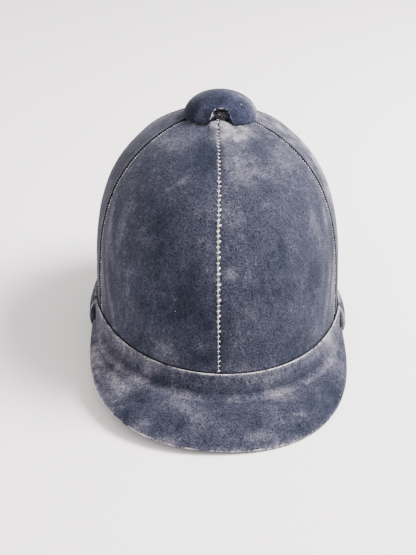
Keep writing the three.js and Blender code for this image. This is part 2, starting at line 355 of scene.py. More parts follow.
@dataclass
class Spot:
    """One point of a skin: its place, what its finish reads there, and its flat place."""

    place: Vector
    wear: float = 0.0
    edge: float = 0.0
    # Share of painted shade.
    gap: float = 0.0
    across: float = 0.0
    along: float = 0.0


Skin = Callable[[float, float], Spot]


def skin_mesh(columns: int, rows: int, spot_at: Skin) -> BMesh:
    """A grid laid over a form.

    Args:
        columns: Faces across.
        rows: Faces up.
        spot_at: Gives the spot at a share of the way across and up.

    Returns:
        The mesh, with its marks and a UV map in metres of cloth.
    """
    mesh = bmesh.new()
    bmesh.ops.create_grid(mesh, x_segments=columns, y_segments=rows, size=0.5)
    layers = {mark: mesh.verts.layers.float.new(mark.value) for mark in Mark}
    cloth = mesh.loops.layers.uv.new("cloth")
    flat: dict[int, Pair] = {}
    for vertex in mesh.verts:
        u = min(1.0, max(0.0, vertex.co.x + 0.5))
        v = min(1.0, max(0.0, vertex.co.y + 0.5))
        spot = spot_at(u, v)
        vertex.co = spot.place
        vertex[layers[Mark.WEAR]] = spot.wear
        vertex[layers[Mark.EDGE]] = spot.edge
        vertex[layers[Mark.PAINTED_SHADE]] = spot.gap
        flat[vertex.index] = (spot.across * MM, spot.along * MM)
    for face in mesh.faces:
        for loop in face.loops:
            loop[cloth].uv = flat[loop.vert.index]
    return mesh


def face_outwards(mesh: BMesh, inside: Vector) -> None:
    """Turns an open sheet's faces away from a point inside it."""
    mesh.normal_update()
    mesh.faces.ensure_lookup_table()
    middle = mesh.faces[len(mesh.faces) // 2]
    if middle.normal.dot(middle.calc_center_median() - inside) < 0:
        bmesh.ops.reverse_faces(mesh, faces=mesh.faces[:])


def close_tube(mesh: BMesh) -> None:
    """Merges a closed section's two meeting rows, fills its ends and turns it outwards."""
    bmesh.ops.remove_doubles(mesh, verts=mesh.verts[:], dist=ROW_WELD)
    ends = [edge for edge in mesh.edges if edge.is_boundary]
    filled = bmesh.ops.edgeloop_fill(mesh, edges=ends)["faces"]
    bmesh.ops.triangulate(mesh, faces=filled)
    bmesh.ops.recalc_face_normals(mesh, faces=mesh.faces[:])


def new_object(mesh: BMesh, name: str, looks: Sequence[Material]) -> Object:
    """Makes an object of a mesh, which is freed, and puts it in the scene."""
    data = bpy.data.meshes.new(name)
    mesh.to_mesh(data)
    mesh.free()
    for look in looks:
        data.materials.append(look)
    made = bpy.data.objects.new(name, data)
    bpy.context.scene.collection.objects.link(made)
    return made


def finish_mesh(
    mesh: BMesh,
    name: str,
    looks: Sequence[Material],
    slot: str,
    stands_for: Sequence[str] = (),
) -> Object:
    """Makes a piece of a mesh and hangs it on the cap.

    Args:
        mesh: The mesh, in the row frame, in metres. It is freed.
        name: The piece's name.
        looks: Its materials, in the order of its faces' indices.
        slot: The record's material slot that it stands for, which is only logged.
        stands_for: The CAD nodes that it replaces.

    Returns:
        The piece.
    """
    piece = new_object(mesh, name, looks)
    piece.data.shade_smooth()
    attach(piece, BODY)
    if stands_for:
        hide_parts(*stands_for)
    log.info("%s: %s", slot, name)
    return piece


def add_wall(piece: Object, thickness: float, lining: int = 0) -> None:
    """Thickens a sheet inwards.

    Args:
        piece: The sheet.
        thickness: Millimetres of wall.
        lining: How many slots further on the inner face's material is.
    """
    wall = piece.modifiers.new("wall", "SOLIDIFY")
    wall.thickness = thickness * MM
    wall.offset = -1
    wall.use_even_offset = False
    wall.material_offset = lining


def add_stitch(mesh: BMesh, place: Matrix, size: Vector, segments: int = 8) -> None:
    """Adds one small rounded thread.

    Args:
        mesh: The mesh that takes it.
        place: Its middle and turn, in metres.
        size: Its width, height and length, in millimetres.
        segments: Faces round it.
    """
    shape = Matrix.Diagonal((*(size * MM / 2), 1))
    bmesh.ops.create_uvsphere(
        mesh, u_segments=segments, v_segments=STITCH_RINGS, radius=1.0, matrix=place @ shape
    )


# ---- materials -----------------------------------------------------------------------


def linear(code: str) -> Colour:
    """An sRGB hex colour as the linear colour that nodes take."""
    parts = [int(code[i : i + 2], 16) / 255 for i in (1, 3, 5)]
    red, green, blue = (
        part / 12.92 if part <= 0.04045 else ((part + 0.055) / 1.055) ** 2.4 for part in parts
    )
    return (red, green, blue, 1.0)


def per_metre(size: float) -> float:
    """The scale of a pattern that repeats every so many millimetres."""
    return 1 / (size * MM)


def add_node(
    tree: NodeTree, kind: str, settings: dict[str, object] | None = None, **inputs: object
) -> Node:
    """Adds a node with its settings and its links.

    Args:
        tree: The node tree.
        kind: The node's type.
        settings: The node's own properties.
        inputs: A value or a source socket for each input. A name's underscores stand
            for spaces, and in_0, in_1 and so on pick an input by its number.

    Returns:
        The node.
    """
    node = tree.nodes.new(kind)
    for key, value in (settings or {}).items():
        setattr(node, key, value)
    for key, value in inputs.items():
        name = int(key[3:]) if key.startswith("in_") else key.replace("_", " ")
        socket = node.inputs[name]
        if isinstance(value, NodeSocket):
            tree.links.new(value, socket)
        else:
            socket.default_value = value
    return node


def add_math(tree: NodeTree, operation: str, *values: NodeSocket | float) -> NodeSocket:
    """The result of a maths node on sockets or numbers."""
    inputs = {f"in_{index}": value for index, value in enumerate(values)}
    return add_node(tree, "ShaderNodeMath", {"operation": operation}, **inputs).outputs[0]


def add_ramp(
    tree: NodeTree, source: NodeSocket, stops: Sequence[tuple[float, str]]
) -> NodeSocket:
    """A colour ramp over a source.

    Args:
        tree: The node tree.
        source: What the ramp reads.
        stops: Each stop's place and hex colour, in order.

    Returns:
        The ramp's colour.
    """
    ramp = add_node(tree, "ShaderNodeValToRGB", Fac=source)
    elements = ramp.color_ramp.elements
    while len(elements) < len(stops):
        elements.new(0.5)
    for element, (place, code) in zip(elements, stops):
        element.position = place
        element.color = linear(code)
    return ramp.outputs["Color"]


def add_surface(
    tree: NodeTree, height: NodeSocket, strength: float, depth: float, **finish: object
) -> None:
    """Ends a tree with a shader that is raised by a height.

    Args:
        tree: The node tree.
        height: What raises the surface.
        strength: How strongly it does so.
        depth: Millimetres from its lowest to its highest.
        finish: The shader's own inputs, named as add_node takes them.
    """
    bump = add_node(
        tree, "ShaderNodeBump", Strength=strength, Distance=depth * MM, Height=height
    )
    shader = add_node(tree, "ShaderNodeBsdfPrincipled", Normal=bump.outputs[0], **finish)
    add_node(tree, "ShaderNodeOutputMaterial", Surface=shader.outputs[0])


def add_bands(
    tree: NodeTree, place: NodeSocket, repeat: float, distortion: float = 0.0
) -> NodeSocket:
    """Slanting bands that repeat every so many millimetres."""
    return add_node(
        tree,
        "ShaderNodeTexWave",
        {"bands_direction": "DIAGONAL"},
        Vector=place,
        Scale=per_metre(repeat) / math.tau,
        Distortion=distortion,
    ).outputs["Fac"]


def new_material(name: str) -> tuple[Material, NodeTree, NodeSocket]:
    """A material, its tree, and the object coordinates that are all it has so far."""
    material = bpy.data.materials.new(name)
    material.use_nodes = True
    tree = material.node_tree
    tree.nodes.clear()
    return material, tree, add_node(tree, "ShaderNodeTexCoord").outputs["Object"]


@dataclass(frozen=True)
class Mottle:
    """One soft noise of a finish: millimetres across, how far it counts, and its detail."""

    size: float
    depth: float
    detail: float = 1.0
    distortion: float = 0.0


@dataclass(frozen=True)
class CottonVelvet:
    """Dyed cotton velvet, sun-faded and rubbed: a matt short pile that glows at its edges.

    The pile is 1 to 2 mm long. Tufts are too fine to show, so the speckle is drawn at
    clumps of tufts.
    """

    name: str
    deep: str = "#1d212d"
    middle: str = "#30323f"
    faded: str = "#53525e"
    rubbed: str = "#79787f"
    bare: str = "#b2afb4"
    # Near-black painted shade for grooves, clefts, creases and under overhangs.
    gap: str = "#07080c"
    tone: float = 0.405
    patch: Mottle = Mottle(34.0, 0.55, 4.0, 0.6)
    blotch: Mottle = Mottle(11.0, 0.4, 4.0, 0.3)
    streak: Mottle = Mottle(4.0, 0.36, 3.0, 0.4)
    streak_draw: float = 0.3
    nap: Mottle = Mottle(3.2, 0.25, 2.0, 0.2)
    nap_height: float = 0.4
    clump: Mottle = Mottle(1.4, 1.35)
    fibre: Mottle = Mottle(0.8, 2.75)
    fibre_height: float = 0.6
    pile_depth: float = 0.5
    nibble: float = 0.9
    bare_from: float = 0.25
    bare_full: float = 0.85
    lint: str = "#8e8c94"
    lint_apart: float = 8.0
    lint_size: float = 0.42
    lint_core: float = 0.6
    lint_rarity: float = 0.55
    sheen: float = 0.12
    sheen_roughness: float = 0.35
    sheen_tint: str = "#d6d8ee"
    shift: Triple = (0.0, 0.0, 0.0)

    def make(self) -> Material:
        """Builds the node material."""
        material, tree, spot = new_material(self.name)
        moved = add_node(tree, "ShaderNodeMapping", Vector=spot, Location=self.shift)
        place = moved.outputs[0]
        draw = (1.0, 1.0, self.streak_draw)
        drawn = add_node(tree, "ShaderNodeMapping", Vector=place, Scale=draw).outputs[0]
        naps = self._field(tree, place, self.nap)
        clumps = self._field(tree, place, self.clump)
        fibres = self._field(tree, place, self.fibre)

        tone = add_math(tree, "ADD", self._mark(tree, Mark.WEAR), self.tone)
        for mottle, source in ((self.patch, place), (self.blotch, place), (self.streak, drawn)):
            tone = self._weigh(tree, self._field(tree, source, mottle), mottle.depth, tone)
        tone = self._weigh(tree, naps, self.nap.depth, tone)
        stops = ((0.1, self.deep), (0.42, self.middle), (0.72, self.faded), (1.0, self.rubbed))
        colour = add_ramp(tree, tone, stops)
        pile = self._weigh(tree, clumps, self.clump.depth, 1.0)
        pile = self._weigh(tree, fibres, self.fibre.depth, pile)
        colour = add_node(
            tree, "ShaderNodeVectorMath", {"operation": "SCALE"}, in_0=colour, Scale=pile
        ).outputs[0]
        colour = self._mix(tree, self._lint(tree, spot), colour, self.lint)
        bare = self._broken(tree, self._mark(tree, Mark.EDGE), clumps)
        colour = self._mix(tree, bare, colour, self.bare)
        # Painted shade, laid over where the mesh's mark says.
        colour = self._mix(tree, self._mark(tree, Mark.PAINTED_SHADE), colour, self.gap)

        height = self._weigh(tree, naps, self.nap_height, clumps)
        height = self._weigh(tree, fibres, self.fibre_height, height)
        add_surface(
            tree,
            height,
            strength=0.8,
            depth=self.pile_depth,
            Base_Color=colour,
            Roughness=0.95,
            Specular_IOR_Level=0.12,
            Sheen_Weight=self.sheen,
            Sheen_Roughness=self.sheen_roughness,
            Sheen_Tint=linear(self.sheen_tint),
        )
        return material

    @staticmethod
    def _field(tree: NodeTree, place: NodeSocket, mottle: Mottle) -> NodeSocket:
        """A mottle's noise."""
        return add_node(
            tree,
            "ShaderNodeTexNoise",
            Vector=place,
            Scale=per_metre(mottle.size),
            Detail=mottle.detail,
            Roughness=0.55,
            Distortion=mottle.distortion,
        ).outputs["Fac"]

    @staticmethod
    def _mark(tree: NodeTree, mark: Mark) -> NodeSocket:
        """A value that the mesh carries."""
        settings = {"attribute_name": mark.value}
        return add_node(tree, "ShaderNodeAttribute", settings).outputs["Fac"]

    @staticmethod
    def _weigh(
        tree: NodeTree, field: NodeSocket, depth: float, base: NodeSocket | float
    ) -> NodeSocket:
        """A base plus a noise that is centred on 0 and weighed by a depth."""
        centred = add_math(tree, "SUBTRACT", field, 0.5)
        return add_math(tree, "MULTIPLY_ADD", centred, depth, base)

    def _lint(self, tree: NodeTree, place: NodeSocket) -> NodeSocket:
        """A few specks of pale lint caught in the pile."""
        cells = add_node(
            tree, "ShaderNodeTexVoronoi", Vector=place, Scale=per_metre(self.lint_apart)
        )
        speck = add_node(
            tree,
            "ShaderNodeMapRange",
            Value=cells.outputs["Distance"],
            From_Min=self.lint_size / self.lint_apart,
            From_Max=self.lint_core * self.lint_size / self.lint_apart,
        )
        chosen = add_math(tree, "GREATER_THAN", cells.outputs["Color"], self.lint_rarity)
        return add_math(tree, "MULTIPLY", speck.outputs[0], chosen)

    def _broken(self, tree: NodeTree, mark: NodeSocket, clumps: NodeSocket) -> NodeSocket:
        """A mark broken up by the pile's clumps, so that a rubbed line looks nibbled."""
        rough = add_math(tree, "MULTIPLY_ADD", clumps, self.nibble, -self.nibble / 2)
        return add_node(
            tree,
            "ShaderNodeMapRange",
            {"interpolation_type": "SMOOTHSTEP"},
            Value=add_math(tree, "ADD", mark, rough),
            From_Min=self.bare_from,
            From_Max=self.bare_full,
        ).outputs[0]

    @staticmethod
    def _mix(tree: NodeTree, share: NodeSocket, base: NodeSocket, code: str) -> NodeSocket:
        """A hex colour laid over a base by a share."""
        settings = {"data_type": "RGBA"}
        inputs = {"in_0": share, "in_6": base, "in_7": linear(code)}
        return add_node(tree, "ShaderNodeMix", settings, **inputs).outputs[2]


@dataclass(frozen=True)
class CottonThread:
    """Undyed spun cotton thread, greyed by handling: matt, with a twist every 0.6 mm."""

    name: str
    clean: str = "#d4cecb"
    grubby: str = "#a9a6ac"
    smudge: float = 5.0
    twist: float = 0.6

    def make(self) -> Material:
        """Builds the node material."""
        material, tree, spot = new_material(self.name)
        dirt = add_node(tree, "ShaderNodeTexNoise", Vector=spot, Scale=per_metre(self.smudge))
        colour = add_ramp(tree, dirt.outputs["Fac"], ((0.35, self.grubby), (0.6, self.clean)))
        add_surface(
            tree,
            add_bands(tree, spot, self.twist),
            strength=0.6,
            depth=0.1,
            Base_Color=colour,
            Roughness=0.85,
            Specular_IOR_Level=0.2,
        )
        return material


@dataclass(frozen=True)
class ShellLining:
    """The stiffened shell's inner face, lined with dull dark drill: a 1.2 mm twill."""

    name: str = "drill_lining"
    dark: str = "#17181d"
    light: str = "#2b2c33"
    rib: float = 1.2

    def make(self) -> Material:
        """Builds the node material."""
        material, tree, spot = new_material(self.name)
        ribs = add_bands(tree, spot, self.rib, distortion=0.6)
        colour = add_ramp(tree, ribs, ((0.2, self.dark), (0.9, self.light)))
        add_surface(
            tree,
            ribs,
            strength=0.5,
            depth=0.15,
            Base_Color=colour,
            Roughness=0.8,
            Specular_IOR_Level=0.25,
        )
        return material


# ---- crown ---------------------------------------------------------------------------


class SeamKind(Enum):
    """How a panel's edge is sewn to its neighbour's."""

    OVERCAST = "butted, and overcast with heavy pale thread"
    OVER = "turned in and lapped over, its fold rubbed pale"
    UNDER = "lapped under, in the fold's shadow"


@dataclass(frozen=True)
class Panel:
    """One panel of the crown, from one turn to another, and its two edges."""

    node: str
    start: float
    end: float
    start_seam: SeamKind
    end_seam: SeamKind

    @property
    def left(self) -> bool:
        """Whether the panel is on the wearer's left."""
        return self.start >= 0


@dataclass(frozen=True)
class SeamEdges:
    """How the velvet turns in, pales and takes painted shade at each kind of seam, in millimetres.
    """

    margin: float = 0.2
    turn_in_at: Pair = (0.0, 0.9)
    over_sink: float = 0.95
    over_line: float = 0.32
    over_ridge: Pair = (0.7, 0.8)
    over_nibble: Pair = (0.75, 0.5)
    nibble: Wave = Wave(1.0, 6, 11)
    under_sink: float = 1.5
    under_rise: float = 0.6
    under_ridge: Pair = (1.4, 3.0)
    under_left_at: Pair = (0.8, 1.8)
    under_right_at: Pair = (0.9, 2.5)
    shut_heights: Pair = (105.0, 126.0)
    shut_share: float = 0.35
    cast_sink: float = 0.6
    cast_sink_at: Pair = (0.0, 1.6)
    cast_line: float = 0.45
    cast_line_at: Pair = (0.2, 1.8)
    cast_least: float = 0.25
    cast_heights: Pair = (8.0, 50.0)
    # Painted shade beside the overcast stitches near the top.
    cast_painted_shade: float = 0.8
    cast_painted_shade_at: Pair = (0.4, 1.1)
    cast_painted_shade_heights: Pair = (84.0, 104.0)

    def marks(self, kind: SeamKind, away: float, z: float, place: Vector, left: bool) -> Triple:
        """How a panel's edge rises, pales and takes painted shade towards its seam.

        Args:
            kind: How the edge is sewn.
            away: Millimetres from the edge.
            z: Height on the crown.
            place: The spot, which varies the rubbing along the seam.
            left: Whether the panel is on the wearer's left.

        Returns:
            Millimetres of rise, and the shares of pale edge and of painted shade.
        """
        turned_in = 1 - smooth(away, *self.turn_in_at)
        if kind is SeamKind.OVER:
            least, more = self.over_nibble
            line = self.over_line * hump(away, *self.over_ridge)
            line *= least + more * uneven(place, self.nibble)
            return -self.over_sink * turned_in, line, 0.0
        # A lapped-under edge takes painted shade in the fold's groove.
        if kind is SeamKind.UNDER:
            rise = self.under_rise * hump(away, *self.under_ridge) - self.under_sink * turned_in
            if left:
                shut = self.shut_share * smooth(z, *self.shut_heights)
                return rise, 0.0, (1 - smooth(away, *self.under_left_at)) * (1 - shut)
            return rise, 0.0, 1 - smooth(away, *self.under_right_at)
        rise = -self.cast_sink * (1 - smooth(away, *self.cast_sink_at))
        grown = blend(self.cast_least, 1.0, smooth(z, *self.cast_heights))
        line = self.cast_line * (1 - smooth(away, *self.cast_line_at)) * grown
        # Painted shade beside the overcast stitches, on the wearer's left near the top.
        open_part = smooth(z, *self.cast_painted_shade_heights) if left else 0.0
        return rise, line, self.cast_painted_shade * (1 - smooth(away, *self.cast_painted_shade_at)) * open_part


@dataclass(frozen=True)
class Streaks:
    """The rubbed margin of a lapped seam, and the slanting streaks beside it."""

    margin: float = 0.1
    margin_ridge: Pair = (0.0, 7.0)
    waves: tuple[Wave, ...] = (Wave(0.5, 4, 71), Wave(1.0, 8.5, 73))
    slant: Pair = (0.3, 0.15)
    middle: float = 0.14
    depth: float = 0.5
    ridge: Pair = (10.0, 16.0)
    heights: Pair = (70.0, 100.0)

    def wear(self, away: float, z: float) -> float:
        """How far the pile is rubbed at a distance from the seam and a height."""
        aside, along = self.slant
        streak = uneven(Vector((away + aside * z, along * z, 0)), *self.waves) - self.middle
        low = 1 - smooth(z, *self.heights)
        margin = self.margin * hump(away, *self.margin_ridge)
        return margin + self.depth * streak * low * hump(away, *self.ridge)


@dataclass(frozen=True)
class VentSwell:
    """The velvet that stands up in front of the vent, under the button's notch."""

    height: float = 3.5
    across_ridge: Pair = (1.2, 8.0)
    along_ridge: Pair = (-4.0, 4.5)
    notch_x: float = 2.2
    sides_at: Pair = (6.5, 9.5)
    # The swell's pile is painted paler: partly wear, partly painted light where light falls on the
    # bulge in front of the vent.
    wear: float = 0.6

    def share(self, place: Vector) -> float:
        """How much of its height it has at a point of the crown."""
        inside = 1 - smooth(abs(place.x - self.notch_x), *self.sides_at)
        return hump(place.x, *self.across_ridge) * inside * hump(place.y, *self.along_ridge)


@dataclass
class Crown:
    """Six velvet panels over a stiff shell, and where threads lie along their seams."""

    seating: Seating
    wall: float = 3.0
    seams: SeamEdges = SeamEdges()
    streaks: Streaks = Streaks()
    swell: VentSwell = VentSwell()
    vent_climb: float = 0.955
    binding: float = 1.9
    foot_rows: int = 10
    lip_rows: int = 4
    lip: float = 1.6
    lip_heights: Pair = (0.0, 45.0)
    columns: int = 96
    rows: int = 112
    crowding: float = 0.85
    core_height: float = 40.0
    probe: float = 0.4
    side_seam: float = 69.0
    back_seam: float = 119.0
    drift_turns: Pair = (-0.55, 0.65)
    drift_heights: Pair = (75.0, 128.0)
    relief: tuple[Wave, ...] = (Wave(0.3, 34, 3), Wave(0.12, 9, 5))
    relief_at: Pair = (0.0, 6.0)
    gape_ridge: Pair = (1.0, 0.13)
    gape_width: Pair = (0.8, 1.9)
    gape_depth: Pair = (0.6, 1.0)
    scuff_waves: tuple[Wave, ...] = (Wave(0.7, 8, 17), Wave(0.6, 3.5, 21))
    side_waves: tuple[Wave, ...] = (Wave(0.24, 9, 63), Wave(0.18, 4, 67))
    scuffs: tuple[CrownScuff, ...] = (
        CrownScuff(20, 11, 0.08, turn=-36, height=123),
        CrownScuff(11, 2.6, 0.2, lean=48, turn=-24, height=107),
        CrownScuff(8, 17, 0.05, turn=-53, height=76),
        CrownScuff(4, 22, 0.2, turn=-66, height=50),
        CrownScuff(5, 12, 0.12, turn=-5, height=67),
        CrownScuff(7, 9, 0.26, turn=-25, height=13),
        CrownScuff(6, 3, 0.26, turn=-8, height=17),
        CrownScuff(13, 12, 0.45, turn=14, height=126),
        CrownScuff(9, 9, 0.42, turn=36, height=126),
        CrownScuff(32, 20, 0.03, turn=38, height=108),
        CrownScuff(9, 11, 0.36, turn=13, height=116),
        CrownScuff(10, 10, 0.14, turn=-49, height=120),
        CrownScuff(8, 16, -0.26, turn=-5, height=119),
        CrownScuff(7, 14, 0.2, turn=50, height=74),
        CrownScuff(14, 14, -0.2, turn=20, height=50),
        CrownScuff(8, 14, -0.18, turn=46, height=42),
        CrownScuff(14, 14, -0.1, turn=40, height=12),
        CrownScuff(11, 26, -0.13, turn=-35, height=36),
        CrownScuff(6, 7, 0.12, turn=-20, height=10),
        # The broad pale patch on the lit side panel, at the wearer's left, is paler nap and in
        # part a painted highlight where the light falls and glances.
        CrownScuff(30, 75, 0.54, turn=96, height=85),
        CrownScuff(14, 16, -0.26, turn=-95, height=113),
        CrownScuff(16, 18, -0.12, turn=-85, height=103),
        CrownScuff(26, 28, -0.13, turn=38, height=52),
        CrownScuff(32, 14, -0.1, turn=30, height=14),
        CrownScuff(22, 14, -0.16, turn=30, height=102),
        CrownScuff(24, 14, -0.08, turn=-22, height=16),
        CrownScuff(28, 14, -0.12, turn=-36, height=112),
        CrownScuff(10, 5, 0.35, turn=-12, height=129.5),
        CrownScuff(17, 12, 0.14, turn=22, height=110),
        CrownScuff(12, 12, 0.15, turn=50, height=114),
        CrownScuff(12, 12, 0.15, turn=38, height=103),
        CrownScuff(6, 20, 0.12, turn=9, height=88),
        CrownScuff(4, 6, 0.3, turn=5, height=62),
        CrownScuff(6, 9, 0.14, turn=11, height=63),
        CrownScuff(7, 14, 0.05, turn=38, height=68),
        CrownScuff(7, 18, 0.08, turn=54, height=70),
        CrownScuff(4, 22, 0.2, turn=64, height=28),
        CrownScuff(5, 7, 0.2, turn=48, height=10),
        CrownScuff(8, 20, -0.2, turn=-15, height=122),
        CrownScuff(4, 12, -0.16, turn=38, height=122),
        CrownScuff(16, 9, -0.12, turn=-32, height=93),
        CrownScuff(8, 9, -0.15, turn=-46, height=64),
        CrownScuff(9, 24, -0.2, turn=-28, height=70),
        CrownScuff(13, 17, -0.22, turn=-14, height=49),
        CrownScuff(20, 9, -0.15, turn=-22, height=36),
        CrownScuff(9, 8, -0.2, turn=-40, height=5),
        CrownScuff(12, 6, -0.22, turn=-6, height=10),
        CrownScuff(9, 16, -0.15, turn=0, height=31),
        CrownScuff(5, 9, -0.12, turn=14, height=79),
        CrownScuff(4, 13, -0.2, turn=29, height=71),
        CrownScuff(7, 13, -0.22, turn=48, height=45),
        CrownScuff(4, 11, -0.26, turn=64, height=54),
        CrownScuff(14, 7, -0.22, turn=38, height=1),
    )

    @property
    def panels(self) -> tuple[Panel, ...]:
        """The six panels and how their edges are sewn."""
        side, back, end = (math.radians(turn) for turn in (self.side_seam, self.back_seam, 180))
        cast, over, under = SeamKind.OVERCAST, SeamKind.OVER, SeamKind.UNDER
        return (
            Panel("front_left_panel", 0.0, side, cast, over),
            Panel("front_right_panel", -side, 0.0, over, cast),
            Panel("side_left_panel", side, back, under, over),
            Panel("side_right_panel", -back, -side, over, under),
            Panel("back_left_panel", back, end, under, over),
            Panel("back_right_panel", -end, -back, under, under),
        )

    def build(self, velvet: Material, lining: Material) -> None:
        """Builds the six panels."""
        for panel in self.panels:
            mesh = skin_mesh(self.columns, self.rows, lambda u, v: self.spot(panel, u, v))
            face_outwards(mesh, self.seating.lay(Vector((0, 0, self.core_height))))
            name = panel.node.replace("_panel", "_velvet")
            piece = finish_mesh(mesh, name, (velvet, lining), "crown_velvet", (panel.node,))
            add_wall(piece, self.wall, lining=1)

    def height(self, turn: float, way: float) -> float:
        """Height at that share of the way from a panel's foot to the vent hole."""
        foot = self.seating.level(turn, self.seating.rise(turn) + self.binding)
        collar = self.seating.collar(turn)
        row = way * self.rows - self.foot_rows
        if row < 0:
            return blend(collar, foot, -row / self.foot_rows)
        if row < self.lip_rows:
            return collar + self.lip * row / self.lip_rows
        climb = (row - self.lip_rows) / (self.rows - self.foot_rows - self.lip_rows)
        z = self.seating.form.climb_height(self.vent_climb * climb)
        return z + (collar + self.lip) * (1 - smooth(z, *self.lip_heights))

    def spot(self, panel: Panel, u: float, v: float) -> Spot:
        """A spot of a panel at a share of the way across and up."""
        form, margin = self.seating.form, self.seams.margin
        across = crowded(u, self.crowding)
        z = self.height(blend(panel.start, panel.end, across), v)
        start = panel.start + (self.drift(z) if panel.start == 0 else 0)
        end = panel.end + (self.drift(z) if panel.end == 0 else 0)
        first = start + margin / form.turn_length(start, z)
        last = end - margin / form.turn_length(end, z)
        turn = blend(first, last, across)
        near_start = (turn - first) * form.turn_length(start, z)
        near_end = (last - turn) * form.turn_length(end, z)
        away = min(near_start, near_end)
        kind = panel.start_seam if near_start < near_end else panel.end_seam

        place = form.point(turn, z)
        rise, line, gap = self.seams.marks(kind, away, z, place, panel.left)
        share = self.swell.share(place)
        relief = uneven(place, *self.relief) * smooth(away, *self.relief_at)
        surface = place + form.normal(turn, z) * (rise + self.swell.height * share + relief)

        wear = sum(scuff.weight(form, turn, z) for scuff in self.scuffs)
        wear *= 1 + uneven(place, *self.scuff_waves)
        if kind is SeamKind.OVER:
            wear += self.streaks.wear(away, z)
        if SeamKind.UNDER in (panel.start_seam, panel.end_seam):
            wear += uneven(place, *self.side_waves)
        # The swell is painted paler, partly as painted light.
        wear += self.swell.wear * share
        gap = max(gap, self.collar_shade(turn, z))
        run = (surface - form.point(turn, 0)).length
        return Spot(self.seating.lay(surface), wear, line, gap, near_start, run)

    def collar_shade(self, turn: float, z: float) -> float:
        """Painted shade: the dark line over flange and band, deepest where the flange gapes at the
        left.
        """
        gape = hump(turn, *self.gape_ridge)
        over = smooth(z - self.seating.collar(turn), 0.0, blend(*self.gape_width, gape))
        return blend(*self.gape_depth, gape) * (1 - over)

    def drift(self, z: float) -> float:
        """Turn by which the front seam wanders from the middle at a height."""
        return math.radians(blend(*self.drift_turns, smooth(z, *self.drift_heights)))

    def seam_thread(
        self, turn: float, z: float, slant: float, proud: float, aside: float = 0.0
    ) -> Matrix:
        """Where a thread lies on a seam.

        Args:
            turn: The seam's turn.
            z: Height on the crown.
            slant: The thread's turn from the seam's run towards the wearer's left.
            proud: Millimetres of its middle over the velvet.
            aside: Millimetres of its middle towards the wearer's left.

        Returns:
            Its frame, as Seating gives it.
        """
        form, probe = self.seating.form, self.probe
        place, out = form.point(turn, z), form.normal(turn, z)
        up = (form.point(turn, z + probe) - form.point(turn, z - probe)).normalized()
        side = up.cross(out)
        along = up * math.cos(slant) + side * math.sin(slant)
        lift = proud + self.swell.height * self.swell.share(place)
        return self.seating.thread_frame(place + out * lift + side * aside, along, out)

    def seam_walk(self, turn: float, low: float, high: float, pitch: float) -> list[float]:
        """Heights of stitches an even pitch apart along a seam.

        Args:
            turn: The seam's turn.
            low: Height of the first.
            high: Height that none is over.
            pitch: Millimetres between two, along the surface.

        Returns:
            The heights, from low to high.
        """
        form = self.seating.form
        heights = [low]
        step = self.probe / 2
        while heights[-1] < high:
            z = heights[-1]
            rate = (form.point(turn, z + step) - form.point(turn, z)).length / step
            heights.append(z + pitch / max(1.0, rate))
        return heights[:-1]


@dataclass
class LapStitches:
    """The short pale stitches that hold each lapped edge down."""

    crown: Crown
    pitch: float = 1.8
    low: float = 5.0
    high: float = 128.0
    inset: float = 0.32
    inset_sway: float = 0.1
    sunk: float = 0.15
    size: Triple = (0.9, 0.95, 1.35)
    size_sway: float = 0.12
    slant: float = math.radians(24)

    def build(self, thread: Material) -> None:
        """Builds the stitches of every lapped edge."""
        for panel in self.crown.panels:
            edges = ((panel.start, panel.start_seam, 1), (panel.end, panel.end_seam, -1))
            for seam_turn, kind, inwards in edges:
                if kind is not SeamKind.OVER:
                    continue
                mesh = bmesh.new()
                self._sew(mesh, seam_turn, inwards)
                name = panel.node.replace("_panel", "_lap_stitches")
                finish_mesh(mesh, name, (thread,), "crown_velvet")

    def _sew(self, mesh: BMesh, seam_turn: float, inwards: int) -> None:
        """Adds the stitches of one edge.

        Args:
            mesh: The mesh that takes them.
            seam_turn: The seam's turn.
            inwards: 1 or -1, the way in turn from the seam to the panel's middle.
        """
        heights = self.crown.seam_walk(seam_turn, self.low, self.high, self.pitch)
        for count, z in enumerate(heights):
            wave = sway(count, 3.7) + sway(count, 2.1)
            inset = (self.inset + self.inset_sway * wave) * inwards
            turn = seam_turn + inset / self.crown.seating.form.turn_length(seam_turn, z)
            frame = self.crown.seam_thread(turn, z, self.slant * inwards, -self.sunk)
            size = Vector(self.size) * (1 + self.size_sway * wave)
            add_stitch(mesh, frame, size, segments=6)


